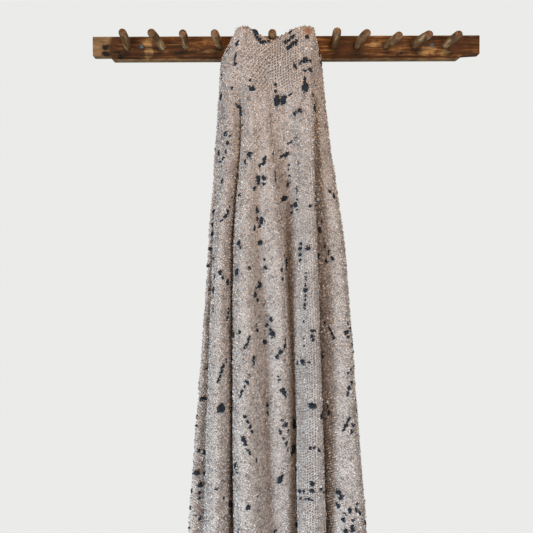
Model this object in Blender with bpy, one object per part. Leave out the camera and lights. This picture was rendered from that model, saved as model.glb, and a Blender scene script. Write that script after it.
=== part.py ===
"""Throw blanket hung over two pegs of a wooden peg rail.

The rail is one board with twelve crooked round pegs glued into blind holes and two
screws that hold it to a wall.
The throw is one thick woven sheet.  It lies over the fifth and the seventh peg,
dips under the sixth, falls in deep folds in front and at the sides, and a short
flap of it hangs behind.  Both side edges come round to the back.

The origin is the centre of the board's back face, which goes against a wall.
X runs along the rail, -Y points into the room and Z is up.
Sizes are in millimetres and are scaled to metres where a mesh is made.
"""

import math

import bmesh
import bpy
from mathutils import Vector

MM = 0.001

# Board
BOARD_THICK = 20.0
BOARD_HALF_LENGTH = 431.5
BOARD_TOP = 26.5
TAB_BOTTOM = -17.0
TAB_BOTTOM_RIGHT_END = -15.0
LIP_BOTTOM = -25.5
LIP_LEFT = -387.0
LIP_RIGHT = 383.0
LIP_LEFT_RUNOUT = 6.0
LIP_RIGHT_RUNOUT = 11.0
BOARD_BEVEL = 1.2
# Faces that meet at less than this many degrees are shaded as one
SMOOTH_BELOW = 40
# Groove scratched along the lip
GROOVE_Z = -20.5
GROOVE_WIDE = 2.0
GROOVE_DEEP = 1.5

# Screws that fasten the board to the wall
SCREW_PLACES = ((-322.0, 4.0), (325.0, 5.0))
SCREW_SHANK = 2.2
SCREW_HEAD = 4.4
SCREW_HEAD_THICK = 1.8
SCREW_EDGE_THICK = 0.9
SCREW_CROWN = 0.55
SCREW_SIDES = 16

# Pegs
PEG_RADIUS = 9.0
PEG_SIDES = 12
PEG_TENON = 14.0
TENON_RADIUS = 8.0
HOLE_GAP = 0.3
HOLE_SIDES = 16
# A row for each peg, left to right: where it leaves the board (x, z), where its
# tip is (x, z), how far it stands out of the board's face, and its girth.
PEG_COLUMNS = ("root_x", "root_z", "tip_x", "tip_z", "reach", "girth")
PEGS = (
    (-353.8, 3.0, -345.0, 5.5, 87, 0.98),
    (-275.0, 3.0, -285.0, 5.2, 86, 1.02),
    (-223.0, 5.5, -219.0, 4.0, 85, 0.97),
    (-147.7, 4.5, -152.5, 3.5, 86, 1.00),
    (-89.0, 4.5, -95.0, 2.5, 83, 0.96),
    (-29.5, 4.5, -32.0, 3.5, 86, 1.00),
    (43.3, 4.5, 42.0, 2.5, 83, 0.96),
    (104.5, 3.5, 103.5, 6.0, 87, 1.02),
    (157.0, 5.0, 167.0, 2.5, 86, 1.00),
    (221.0, 5.0, 234.0, -2.5, 85, 0.98),
    (284.5, 5.0, 297.0, -1.0, 86, 1.00),
    (354.0, 4.5, 358.0, -1.5, 86, 1.02),
)
# Along a peg from its root to its tip: share of its reach and share of its radius
PEG_PROFILE = ((0.0, 0.93), (0.22, 0.97), (0.6, 1.02), (0.93, 1.0), (1.0, 0.72))

# Throw
CLOTH_THICK = 3.0
CLOTH_SMOOTH_BELOW = 60
STEPS_PER_FOLD = 3
ARCH_STEPS = 5
FLAP_STEPS = 3
FLAP_DROP = 150.0
FLAP_GATHER = 0.8
FLAP_CENTRE = Vector((-27.0, -55.0))
# Heights of the four plan stations in the table of folds
SHOULDER_Z = -60.0
UPPER_Z = -200.0
MID_Z = -450.0
LOW_Z = -1050.0
END_Z = -1380.0
SPREAD_BELOW_LOW = 0.45
FLARE = 1.6
# Rows of points down each column, closer together near the pegs
FALL_ROWS = 15
FALL_POWER = 1.6
# Height of the arch over a peg and in the free sag between pegs
ARCH_OVER_PEG = 16.0
ARCH_IN_SAG = 8.0
RIDGE_HIGH = 16.0
RIDGE_LOW = -10.0

# The line where the throw turns over, from the left rear over the fifth peg, along
# the sagging front and back over the seventh peg: the outer layer's place, the
# flap's place and the height of the turn between them.
RIDGE_COLUMNS = ("outer_x", "outer_y", "inner_x", "inner_y", "top_z")
RIDGE = (
    (-102.5, -28, -75.5, -28, 18.0),
    (-104.5, -46, -76.5, -44, 18.0),
    (-105.5, -66, -78.0, -60, 17.6),
    (-108.0, -86, -79.0, -74, 17.2),
    (-109.0, -102, -78.5, -84, 16.2),
    (-97.0, -113, -75.5, -90.5, 15.6),
    (-77.0, -111, -69.0, -92, 9.0),
    (-60.0, -108, -57.5, -90, 0.0),
    (-46.5, -105, -45.5, -87.5, -4.5),
    (-31.5, -103, -31.5, -86, -10.0),
    (-17.0, -105, -18.0, -87.5, -5.0),
    (-1.0, -109, -3.5, -90, 2.5),
    (18.0, -112, 12.0, -92, 11.5),
    (42.0, -113, 25.0, -90, 15.6),
    (55.5, -105, 26.5, -83, 16.2),
    (56.5, -88, 28.0, -72, 16.8),
    (57.5, -68, 29.0, -58, 17.2),
    (57.5, -46, 30.0, -44, 17.6),
    (57.5, -28, 30.5, -28, 18.0),
)

# A row for each crest, edge and hollow, round the throw from its left side edge to
# its right one: its place along the ridge, its plan place (x, y) at the shoulder,
# upper, mid and low heights, and the height at which the cloth ends below it.
FOLD_COLUMNS = ("name", "on_ridge", "shoulder", "upper", "mid", "low", "end_z")
FOLDS = (
    ("left edge", 0.0, (-121, -29), (-90, -31), (-48, -33), (-60, -32), -640),
    ("back hollow", 0.6, (-126, -30), (-105, -24), (-76, -19), (-86, -16), -800),
    ("back crest", 1.2, (-130, -32), (-116, -32), (-98, -44), (-104, -74), -960),
    ("back hollow", 1.7, (-134, -36), (-128, -25), (-122, -20), (-132, -18), -1090),
    ("back crest", 2.2, (-137, -41), (-138, -33), (-139, -38), (-157, -66), -1200),
    ("back hollow", 2.7, (-140, -47), (-146, -31), (-157, -22), (-189, -19), -1275),
    ("left corner", 3.1, (-142, -54), (-150, -43), (-168, -38), (-208, -36), -1310),
    ("left side", 3.5, (-141, -64), (-151, -61), (-171, -62), (-213, -63), -1300),
    ("side hollow", 3.9, (-137, -78), (-145, -70), (-161, -54), (-184, -52), -1288),
    ("second fold, left edge", 4.3, (-130, -92), (-135, -92), (-154, -88), (-181, -95), -1284),
    ("second fold, crest", 4.9, (-118, -104), (-121, -107), (-142, -108), (-156, -120), -1278),
    ("second fold, slope", 5.4, (-106, -109), (-108, -97), (-128, -88), (-137, -93), -1282),
    ("first valley", 5.8, (-97, -110), (-100, -83), (-118, -54), (-126, -46), -1288),
    ("third fold, left edge", 6.1, (-89, -112), (-91, -105), (-110, -100), (-115, -104), -1290),
    ("third fold, crest", 6.6, (-78, -113), (-79, -118), (-94, -124), (-94, -136), -1293),
    ("third fold, inner edge", 7.1, (-67, -113), (-68, -117), (-78, -118), (-68, -119), -1293),
    ("trough", 7.5, (-60, -113), (-59, -115), (-62, -99), (-57, -66), -1290),
    ("third fold, low crest", 8.0, (-53, -113), (-47, -116), (-34, -114), (-26, -80), -1287),
    ("third fold, right edge", 8.5, (-46, -113), (-38, -112), (-16, -106), (0, -76), -1285),
    ("second valley, turn", 8.8, (-42, -112), (-34, -106), (-11, -62), (11, -53), -1285),
    ("second valley", 9.2, (-36, -111), (-22, -102), (0, -58), (22, -51), -1287),
    ("column, left edge", 9.8, (-26, -111), (6, -96), (10, -78), (22, -110), -1290),
    ("column, crest", 11.6, (10, -113), (26, -113), (36, -113), (46, -133), -1293),
    ("column, right edge", 13.0, (43, -113), (47, -118), (56, -117), (71, -116), -1292),
    ("third valley, turn", 13.4, (49, -110), (50, -99), (60, -80), (75, -78), -1288),
    ("third valley", 13.7, (54, -104), (55, -77), (65, -49), (86, -41), -1286),
    ("right fold, slope", 14.2, (61, -97), (63, -81), (76, -63), (98, -86), -1290),
    ("right fold, crest", 14.8, (67, -85), (70, -92), (94, -80), (122, -110), -1295),
    ("right fold, shoulder", 15.4, (72, -72), (81, -80), (112, -82), (153, -99), -1298),
    ("right side", 16.1, (74, -57), (88, -60), (122, -60), (168, -64), -1306),
    ("right corner", 16.7, (73, -46), (86, -43), (118, -38), (164, -36), -1316),
    ("back hollow", 17.0, (70, -40), (80, -31), (104, -21), (146, -19), -1260),
    ("back crest", 17.3, (65, -36), (70, -34), (89, -38), (121, -66), -1140),
    ("back hollow", 17.6, (58, -33), (58, -26), (68, -20), (91, -18), -1000),
    ("back crest", 17.8, (54, -31), (49, -32), (46, -38), (60, -66), -850),
    ("right edge", 18.0, (49, -29), (40, -29), (26, -25), (34, -21), -690),
)
# Where a fold strays from its line: the fold, the height of the middle of the stretch,
# its half width in folds, its half length, and how far it goes right and forward
SWAY_COLUMNS = ("fold", "z", "wide", "long", "right", "forward")
SWAYS = (
    (20.7, -760, 1.3, 190, 8.0, 0.0),
    (16.6, -640, 1.0, 160, 5.0, -5.0),
)
# Slow uneven drift of the folds down their length
DRIFT = 2.2
DRIFT_WAVE = 310.0
DRIFT_TURN = 0.83
DRIFT_SIDEWAYS = 2.0
DRIFT_FORWARD = 1.7


def clear_scene():
    """Empty the scene of whatever it starts with."""
    for thing in list(bpy.data.objects):
        bpy.data.objects.remove(thing)


def material(name, colour, roughness, metallic=0.0):
    """A plain Principled material."""
    made = bpy.data.materials.new(name)
    made.use_nodes = True
    shader = made.node_tree.nodes["Principled BSDF"]
    shader.inputs["Base Color"].default_value = (*colour, 1.0)
    shader.inputs["Roughness"].default_value = roughness
    shader.inputs["Metallic"].default_value = metallic
    return made


def object_from(name, points, faces, made_of):
    """A named object from points in millimetres."""
    mesh = bpy.data.meshes.new(name)
    mesh.from_pydata([tuple(c * MM for c in p) for p in points], [], faces)
    mesh.update()
    made = bpy.data.objects.new(name, mesh)
    made.data.materials.append(made_of)
    bpy.context.scene.collection.objects.link(made)
    return made


def outward_faces(made):
    """Turn every face of a closed mesh outwards."""
    bm = bmesh.new()
    bm.from_mesh(made.data)
    bmesh.ops.recalc_face_normals(bm, faces=bm.faces)
    bm.to_mesh(made.data)
    bm.free()


def smooth(made, degrees):
    """Shade a round piece smooth, with its real corners kept sharp."""
    made.data.shade_smooth()
    made.data.set_sharp_from_angle(angle=math.radians(degrees))


def rod(start, end, sides, rings):
    """Points and faces of a closed round rod; rings are (share of length, radius)."""
    axis = (end - start).normalized()
    across = axis.cross(Vector((0, 0, 1))).normalized()
    up = across.cross(axis)
    points = []
    for share, radius in rings:
        middle = start.lerp(end, share)
        for k in range(sides):
            turn = 2 * math.pi * k / sides
            points.append(middle + across * radius * math.cos(turn) + up * radius * math.sin(turn))
    faces = [list(range(sides)), list(range((len(rings) - 1) * sides, len(rings) * sides))]
    for r in range(len(rings) - 1):
        for k in range(sides):
            after = (k + 1) % sides
            faces.append([r * sides + k, r * sides + after, (r + 1) * sides + after, (r + 1) * sides + k])
    return points, faces


def peg_line(peg):
    """Where a peg leaves the board's face and where its tip is."""
    root = Vector((peg["root_x"], -BOARD_THICK, peg["root_z"]))
    tip = Vector((peg["tip_x"], -BOARD_THICK - peg["reach"], peg["tip_z"]))
    return root, tip


def cut_from(board, name, points, faces):
    """Cut a closed shape out of the board."""
    cutter = object_from(f"cutter {name}", points, faces, board.data.materials[0])
    outward_faces(cutter)
    cutter.hide_render = True
    cutter.display_type = "WIRE"
    cut = board.modifiers.new(name, "BOOLEAN")
    cut.operation = "DIFFERENCE"
    cut.object = cutter


def make_board(wood, pegs):
    """The board: its outline with the lip along the lower edge, bevelled and bored."""
    outline = (
        (-BOARD_HALF_LENGTH, TAB_BOTTOM),
        (LIP_LEFT - LIP_LEFT_RUNOUT, TAB_BOTTOM),
        (LIP_LEFT, LIP_BOTTOM),
        (LIP_RIGHT, LIP_BOTTOM),
        (LIP_RIGHT + LIP_RIGHT_RUNOUT, TAB_BOTTOM),
        (BOARD_HALF_LENGTH, TAB_BOTTOM_RIGHT_END),
        (BOARD_HALF_LENGTH, BOARD_TOP),
        (-BOARD_HALF_LENGTH, BOARD_TOP),
    )
    count = len(outline)
    points = [(x, y, z) for y in (-BOARD_THICK, 0.0) for x, z in outline]
    faces = [list(range(count)), list(range(count, 2 * count))]
    faces += [[k, (k + 1) % count, count + (k + 1) % count, count + k] for k in range(count)]
    board = object_from("board", points, faces, wood)
    outward_faces(board)
    bevel = board.modifiers.new("worn corners", "BEVEL")
    bevel.width = BOARD_BEVEL * MM
    bevel.segments = 1
    for number, peg in enumerate(pegs, 1):
        root, tip = peg_line(peg)
        axis = (tip - root).normalized()
        radius = TENON_RADIUS * peg["girth"] + HOLE_GAP
        start = root - axis * (PEG_TENON + HOLE_GAP)
        hole = rod(start, tip, HOLE_SIDES, ((0.0, radius), (1.0, radius)))
        cut_from(board, f"peg hole {number}", *hole)
    for number, (x, z) in enumerate(SCREW_PLACES, 1):
        radius = SCREW_SHANK + HOLE_GAP
        start = Vector((x, BOARD_THICK, z))
        end = Vector((x, -2 * BOARD_THICK, z))
        bore = rod(start, end, HOLE_SIDES, ((0.0, radius), (1.0, radius)))
        cut_from(board, f"screw hole {number}", *bore)
    groove = [
        (x, y, z)
        for x in (LIP_LEFT, LIP_RIGHT)
        for y, z in (
            (-BOARD_THICK + GROOVE_DEEP, GROOVE_Z),
            (-BOARD_THICK - GROOVE_DEEP, GROOVE_Z - GROOVE_WIDE),
            (-BOARD_THICK - GROOVE_DEEP, GROOVE_Z + GROOVE_WIDE),
        )
    ]
    cut_from(board, "groove", groove, [[0, 1, 2], [3, 4, 5], [0, 1, 4, 3], [1, 2, 5, 4], [2, 0, 3, 5]])
    return board


def make_screw(number, place, steel):
    """A screw: its shank through the board and a low domed head on the face."""
    x, z = place
    back = Vector((x, -HOLE_GAP, z))
    seat = -BOARD_THICK - HOLE_GAP
    front = Vector((x, seat - SCREW_HEAD_THICK, z))
    whole = (front - back).length
    under = 1.0 - SCREW_HEAD_THICK / whole
    edge = under + SCREW_EDGE_THICK / whole
    rings = ((0.0, SCREW_SHANK), (under, SCREW_SHANK), (under, SCREW_HEAD), (edge, SCREW_HEAD),
             (1.0, SCREW_HEAD * SCREW_CROWN))
    points, faces = rod(back, front, SCREW_SIDES, rings)
    made = object_from(f"screw_{number}", points, faces, steel)
    outward_faces(made)
    smooth(made, SMOOTH_BELOW)
    return made


def make_peg(number, peg, wood):
    """A peg: a tenon in its hole, a shoulder on the face, a slightly swollen shank."""
    root, tip = peg_line(peg)
    axis = (tip - root).normalized()
    lean = HOLE_GAP + PEG_RADIUS * math.hypot(axis.x, axis.z)
    start = root - axis * PEG_TENON
    whole = (tip - start).length
    tenon = TENON_RADIUS * peg["girth"]
    shoulder = (PEG_TENON + lean) / whole
    rings = [(0.0, tenon), (shoulder, tenon)]
    for share, swell in PEG_PROFILE:
        rings.append((shoulder + (1.0 - shoulder) * share, PEG_RADIUS * peg["girth"] * swell))
    points, faces = rod(start, tip, PEG_SIDES, rings)
    made = object_from(f"peg_{number:02d}", points, faces, wood)
    outward_faces(made)
    smooth(made, SMOOTH_BELOW)
    return made


def curve_through(points, place):
    """A Catmull-Rom curve through points, read at a place counted in points."""
    last = len(points) - 1
    k = min(int(place), last - 1)
    u = place - k
    before = points[max(k - 1, 0)]
    start, end = points[k], points[k + 1]
    after = points[min(k + 2, last)]
    return 0.5 * (
        2 * start
        + (end - before) * u
        + (2 * before - 5 * start + 4 * end - after) * u * u
        + (3 * start - before - 3 * end + after) * u * u * u
    )


def soft_slope(above, below, slope_above, slope_below):
    """A slope between two stretches that never carries the curve past its stations."""
    if slope_above * slope_below <= 0.0:
        return 0.0
    return (above + below) / (above / slope_above + below / slope_below)


def plan_at(z, knots, places):
    """Where one column of the cloth is at height z: a smooth line through its stations."""
    last = len(knots) - 1
    k = 0
    while k < last - 1 and z < knots[k + 1]:
        k += 1
    slopes = [(places[j + 1] - places[j]) / (knots[j + 1] - knots[j]) for j in range(last)]
    tangents = [slopes[0] * FLARE]
    for j in range(1, last):
        above, below = knots[j - 1] - knots[j], knots[j] - knots[j + 1]
        pairs = zip(slopes[j - 1], slopes[j])
        tangents.append(Vector([soft_slope(above, below, a, b) for a, b in pairs]))
    tangents.append(slopes[-1])
    span = knots[k + 1] - knots[k]
    u = (z - knots[k]) / span
    return (
        places[k] * (2 * u**3 - 3 * u**2 + 1)
        + tangents[k] * span * (u**3 - 2 * u**2 + u)
        + places[k + 1] * (3 * u**2 - 2 * u**3)
        + tangents[k + 1] * span * (u**3 - u**2)
    )


def sway_at(place, z):
    """How far right and back the cloth strays at one place and height."""
    aside, back = 0.0, 0.0
    for row in SWAYS:
        sway = dict(zip(SWAY_COLUMNS, row))
        across = (place - sway["fold"]) / sway["wide"]
        along = (z - sway["z"]) / sway["long"]
        share = math.exp(-across * across - along * along)
        aside += sway["right"] * share
        back -= sway["forward"] * share
    return aside, back


def cloth_columns():
    """For each column: its ridge data, its stations below and the height of its end."""
    ridge = [dict(zip(RIDGE_COLUMNS, row)) for row in RIDGE]
    folds = [dict(zip(FOLD_COLUMNS, row)) for row in FOLDS]
    outer_line = [Vector((r["outer_x"], r["outer_y"], r["top_z"])) for r in ridge]
    inner_line = [Vector((r["inner_x"], r["inner_y"], r["top_z"])) for r in ridge]
    on_ridge = [Vector((f["on_ridge"], f["end_z"])) for f in folds]
    stations = [[Vector(f[level]) for f in folds] for level in FOLD_COLUMNS[2:6]]
    columns = []
    for step in range((len(folds) - 1) * STEPS_PER_FOLD + 1):
        place = step / STEPS_PER_FOLD
        along, end_z = curve_through(on_ridge, place)
        along = min(max(along, 0.0), len(ridge) - 1.0)
        outer = curve_through(outer_line, along)
        shoulder, upper, mid, low = (curve_through(level, place) for level in stations)
        columns.append({
            "place": place,
            "outer": outer.to_2d(),
            "inner": curve_through(inner_line, along).to_2d(),
            "top_z": outer.z,
            "stations": [shoulder, upper, mid, low, low + (low - mid) * SPREAD_BELOW_LOW],
            "end_z": end_z,
        })
    return columns


def column_points(column):
    """One column of the cloth, from the flap's hem over the ridge down to the end."""
    rise = (column["top_z"] - RIDGE_LOW) / (RIDGE_HIGH - RIDGE_LOW)
    arch = ARCH_IN_SAG + (ARCH_OVER_PEG - ARCH_IN_SAG) * min(max(rise, 0.0), 1.0)
    spring = column["top_z"] - arch
    outer, inner = column["outer"], column["inner"]
    gathered = FLAP_CENTRE + (inner - FLAP_CENTRE) * FLAP_GATHER
    points = []
    for step in range(FLAP_STEPS):
        share = 1.0 - step / FLAP_STEPS
        x, y = inner.lerp(gathered, share)
        points.append((x, y, spring - FLAP_DROP * share))
    middle, half = (outer + inner) / 2, (outer - inner) / 2
    for step in range(ARCH_STEPS + 1):
        turn = math.pi * (1.0 - step / ARCH_STEPS)
        x, y = middle + half * math.cos(turn)
        points.append((x, y, spring + arch * math.sin(turn)))
    knots = [spring, SHOULDER_Z, UPPER_Z, MID_Z, LOW_Z, END_Z]
    places = [outer, *column["stations"]]
    for step in range(1, FALL_ROWS + 1):
        share = (step / FALL_ROWS) ** FALL_POWER
        z = spring + (column["end_z"] - spring) * share
        x, y = plan_at(z, knots, places)
        depth = min(max((SHOULDER_Z - z) / (SHOULDER_Z - LOW_Z), 0.0), 1.0)
        turn = z / DRIFT_WAVE + column["place"] * DRIFT_TURN
        aside, back = sway_at(column["place"], z)
        x += DRIFT * depth * math.sin(turn * DRIFT_SIDEWAYS) + aside
        y += DRIFT * depth * math.cos(turn * DRIFT_FORWARD) + back
        points.append((x, y, z))
    return points


def make_throw(wool):
    """The throw: one sheet, thickened about its middle surface."""
    columns = [column_points(column) for column in cloth_columns()]
    rows = len(columns[0])
    points = [p for column in columns for p in column]
    faces = []
    for c in range(len(columns) - 1):
        for r in range(rows - 1):
            corner = c * rows + r
            faces.append([corner, corner + rows, corner + rows + 1, corner + 1])
    throw = object_from("throw", points, faces, wool)
    smooth(throw, CLOTH_SMOOTH_BELOW)
    thick = throw.modifiers.new("cloth thickness", "SOLIDIFY")
    thick.thickness = CLOTH_THICK * MM
    thick.offset = 0.0
    thick.use_rim = True
    return throw


def build():
    """Make every piece."""
    clear_scene()
    board_wood = material("board wood", (0.20, 0.09, 0.035), 0.6)
    peg_wood = material("peg wood", (0.36, 0.20, 0.10), 0.6)
    steel = material("dull steel", (0.20, 0.23, 0.23), 0.5, 1.0)
    wool = material("boucle wool", (0.47, 0.39, 0.33), 0.95)
    pegs = [dict(zip(PEG_COLUMNS, row)) for row in PEGS]
    make_board(board_wood, pegs)
    for number, peg in enumerate(pegs, 1):
        make_peg(number, peg, peg_wood)
    for number, place in enumerate(SCREW_PLACES, 1):
        make_screw(number, place, steel)
    make_throw(wool)


build()
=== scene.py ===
"""A loosely woven throw hung over two pegs of an old wooden peg rail.

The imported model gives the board, the pegs, the screws and the plain throw.  This
script gives the wood its grain and wear, remakes the pegs as crooked, hand-shaved
sticks, and remakes the throw as a fine sheet with its curly yarn and dark slubs.
Sizes are in metres, in the model's own frame: X along the rail, Y into the wall and
Z up, from the centre of the board's back.
"""

import math

import bpy
import numpy as np
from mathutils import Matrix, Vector, noise
from mathutils.bvhtree import BVHTree


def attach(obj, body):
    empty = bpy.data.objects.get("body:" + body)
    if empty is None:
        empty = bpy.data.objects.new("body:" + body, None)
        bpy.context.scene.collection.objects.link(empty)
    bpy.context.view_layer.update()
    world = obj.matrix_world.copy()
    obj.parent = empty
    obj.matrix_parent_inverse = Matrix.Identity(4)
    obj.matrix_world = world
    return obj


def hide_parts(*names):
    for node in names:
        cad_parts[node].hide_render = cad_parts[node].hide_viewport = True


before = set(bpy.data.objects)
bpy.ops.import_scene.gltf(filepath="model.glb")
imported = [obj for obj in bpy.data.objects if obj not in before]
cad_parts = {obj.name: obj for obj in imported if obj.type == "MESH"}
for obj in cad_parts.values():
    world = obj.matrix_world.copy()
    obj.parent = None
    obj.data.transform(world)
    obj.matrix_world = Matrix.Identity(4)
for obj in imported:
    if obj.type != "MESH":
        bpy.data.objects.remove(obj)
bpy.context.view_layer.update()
MM = 0.001

# The viewpoint.  The camera stands a long step from the wall, level with the middle
# of the throw, and looks slightly down at it.  Its place follows from how far the
# pegs' tips spread outward from their roots in the picture.

EYE = Vector((-45.6, -1370.0, -449.0)) * MM
LENS = 40.5
SENSOR = 36.0
LOOK_DOWN = 1.63
ROLL = 0.22
PICTURE_SIZE = 533

camera_data = bpy.data.cameras.new("camera")
camera_data.lens = LENS
camera_data.sensor_width = SENSOR
camera_data.clip_end = 30.0
camera = bpy.data.objects.new("camera", camera_data)
camera.location = EYE
camera.rotation_euler = (math.radians(90.0 - LOOK_DOWN), math.radians(ROLL), 0.0)
bpy.context.scene.collection.objects.link(camera)
bpy.context.scene.camera = camera


def sight_line(across, down):
    """The direction from the eye through a point of the picture, in its pixels."""
    half = PICTURE_SIZE / 2
    depth = LENS / SENSOR * PICTURE_SIZE
    ray = Vector((across - half, half - down, -depth))
    return (camera.rotation_euler.to_matrix() @ ray).normalized()


# The board.  One softwood plank, dark with old wax, paler where hands and coats have
# rubbed its top edge, its lip and its left end.  It stays as modelled and gets its
# grain, knots, scratches and worn edges from its finish.


def set_sockets(tree, node, values):
    """Set a node's input sockets, by name or number, or link them."""
    for name, value in values.items():
        if isinstance(value, bpy.types.NodeSocket):
            tree.links.new(value, node.inputs[name])
        else:
            node.inputs[name].default_value = value


def add_node(tree, kind, inputs=None, **settings):
    """A shader node with its settings and its sockets."""
    made = tree.nodes.new(kind)
    for name, value in settings.items():
        setattr(made, name, value)
    set_sockets(tree, made, inputs or {})
    return made


def object_place(tree):
    """The place on the piece, in the frame's metres."""
    return add_node(tree, "ShaderNodeTexCoord").outputs["Object"]


def split_up(tree, vector):
    """A vector's X, Y and Z."""
    return add_node(tree, "ShaderNodeSeparateXYZ", {"Vector": vector}).outputs


def noise_of(tree, place, scale, detail, roughness=0.5, distortion=0.0):
    """A noise texture; gives its outputs."""
    inputs = {"Vector": place, "Scale": scale, "Detail": detail, "Roughness": roughness}
    inputs["Distortion"] = distortion
    return add_node(tree, "ShaderNodeTexNoise", inputs).outputs


def cells_of(tree, place, scale):
    """Soft round cells; gives how far each place is from its cell's middle."""
    inputs = {"Vector": place, "Scale": scale}
    return add_node(tree, "ShaderNodeTexVoronoi", inputs, feature="SMOOTH_F1").outputs["Distance"]


def blend_colour(tree, share, under, over):
    """A mix of two colours; gives its colour socket."""
    return add_node(tree, "ShaderNodeMix", {0: share, 6: under, 7: over}, data_type="RGBA").outputs[2]


def sum_of(tree, how, first, second=0.0, third=0.0, clamp=False):
    """A Math node; gives its value socket."""
    inputs = {0: first, 1: second, 2: third}
    return add_node(tree, "ShaderNodeMath", inputs, operation=how, use_clamp=clamp).outputs[0]


def steepen(tree, value, gain, shift):
    """A value times a gain plus a shift, kept between 0 and 1."""
    return sum_of(tree, "MULTIPLY_ADD", value, gain, shift, clamp=True)


def vector_of(tree, how, first, second):
    """A Vector Math node; gives its vector socket."""
    return add_node(tree, "ShaderNodeVectorMath", {0: first, 1: second}, operation=how).outputs[0]


def strayed(tree, place, wander, reach):
    """A place moved about by a noise's colour, up to half a reach each way."""
    shift = vector_of(tree, "SUBTRACT", wander, (0.5, 0.5, 0.5))
    return vector_of(tree, "ADD", place, vector_of(tree, "MULTIPLY", shift, reach))


def near(tree, place, centre, size):
    """One at a point, fading to nothing at its edge: the mask of a mark or a knot."""
    away = vector_of(tree, "DIVIDE", vector_of(tree, "SUBTRACT", place, centre), size)
    length = add_node(tree, "ShaderNodeVectorMath", {0: away}, operation="LENGTH").outputs["Value"]
    return sum_of(tree, "SUBTRACT", 1.0, length, clamp=True)


def ramp_of(tree, value, *stops):
    """A value read off a ramp of (place, colour) stops; gives its colour socket."""
    made = add_node(tree, "ShaderNodeValToRGB", {"Fac": value})
    ramp = made.color_ramp
    while len(ramp.elements) < len(stops):
        ramp.elements.new(0.5)
    for element, (place, colour) in zip(ramp.elements, stops):
        element.position = place
        element.color = (*colour, 1.0)
    return made.outputs["Color"]


def new_group(name, inputs, outputs):
    """A shader node group with named sockets; gives it, what comes in, and its end."""
    group = bpy.data.node_groups.new(name, "ShaderNodeTree")
    for in_out, sockets in (("INPUT", inputs), ("OUTPUT", outputs)):
        for socket, kind in sockets.items():
            group.interface.new_socket(socket, in_out=in_out, socket_type="NodeSocket" + kind)
    return group, group.nodes.new("NodeGroupInput").outputs, group.nodes.new("NodeGroupOutput")


def new_material(name):
    """A material with its Principled shader; gives it, its nodes and the shader."""
    made = bpy.data.materials.new(name)
    made.use_nodes = True
    return made, made.node_tree, made.node_tree.nodes["Principled BSDF"]


def raise_surface(tree, shader, height, strength, distance):
    """Turn a height into the fine relief of a surface."""
    bump = add_node(tree, "ShaderNodeBump", {"Height": height, "Strength": strength, "Distance": distance})
    tree.links.new(bump.outputs[0], shader.inputs["Normal"])


# How a wood's tone is made up, where its middle and pale colours begin in it, and how
# deep its pores are and how rough its streaks: gains and shifts
WOOD_BLOTCHES = (0.6, -0.3)
WOOD_PORES = (0.3, -0.15)
WOOD_MIDDLE_FROM = (3.4, -1.2)
WOOD_PALE_FROM = (4.5, -2.6)
PORES_DEEP = 0.5
STREAKS_ROUGH = 0.3


def make_wood_grain():
    """Old wood: long streaks, fine pores, darker blotches and its relief."""
    group, start, end = new_group(
        "old wood grain",
        {"Vector": "Vector", "Stretch": "Float", "Dark": "Color", "Middle": "Color", "Pale": "Color"},
        {"Color": "Color", "Height": "Float", "Streak": "Float"},
    )
    stretch = start["Stretch"]
    squeeze = add_node(group, "ShaderNodeCombineXYZ", {"X": 1.0, "Y": stretch, "Z": stretch})
    along = vector_of(group, "MULTIPLY", start["Vector"], squeeze.outputs[0])
    streak = noise_of(group, along, scale=14.0, detail=6.0, roughness=0.62, distortion=0.6)["Fac"]
    pores = noise_of(group, along, scale=70.0, detail=3.0, roughness=0.7)["Fac"]
    blotch = noise_of(group, start["Vector"], scale=16.0, detail=3.0, roughness=0.6)["Fac"]
    tone = sum_of(group, "ADD", streak, sum_of(group, "MULTIPLY_ADD", blotch, *WOOD_BLOTCHES))
    tone = sum_of(group, "ADD", tone, sum_of(group, "MULTIPLY_ADD", pores, *WOOD_PORES))
    colour = blend_colour(group, steepen(group, tone, *WOOD_MIDDLE_FROM), start["Dark"], start["Middle"])
    colour = blend_colour(group, steepen(group, tone, *WOOD_PALE_FROM), colour, start["Pale"])
    relief = sum_of(group, "MULTIPLY_ADD", pores, PORES_DEEP, streak)
    set_sockets(group, end, {"Color": colour, "Height": relief, "Streak": tone})
    return group


wood_grain = make_wood_grain()


def wood_of(tree, place, stretch, dark, middle, pale):
    """The wood grain in its three colours; gives its outputs."""
    inputs = {"Vector": place, "Stretch": stretch, "Dark": dark, "Middle": middle, "Pale": pale}
    return add_node(tree, "ShaderNodeGroup", inputs, node_tree=wood_grain).outputs


def finish_wood(tree, shader, grain, colour, rough, shine, relief, depth):
    """Give a shader a wood's colour, its roughness by streaks and its grain's relief."""
    rough = sum_of(tree, "MULTIPLY_ADD", grain["Streak"], STREAKS_ROUGH, rough)
    set_sockets(tree, shader, {"Base Color": colour, "Roughness": rough, "Specular IOR Level": shine})
    raise_surface(tree, shader, grain["Height"], relief, depth)


BOARD_STRETCH = 12.0
BOARD_WOOD = ((0.03, 0.0095, 0.0028, 1.0), (0.115, 0.038, 0.009, 1.0), (0.38, 0.165, 0.048, 1.0))
BOARD_RUBBED = (0.33, 0.19, 0.09, 1.0)
BOARD_FACE = -20.0 * MM
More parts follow.
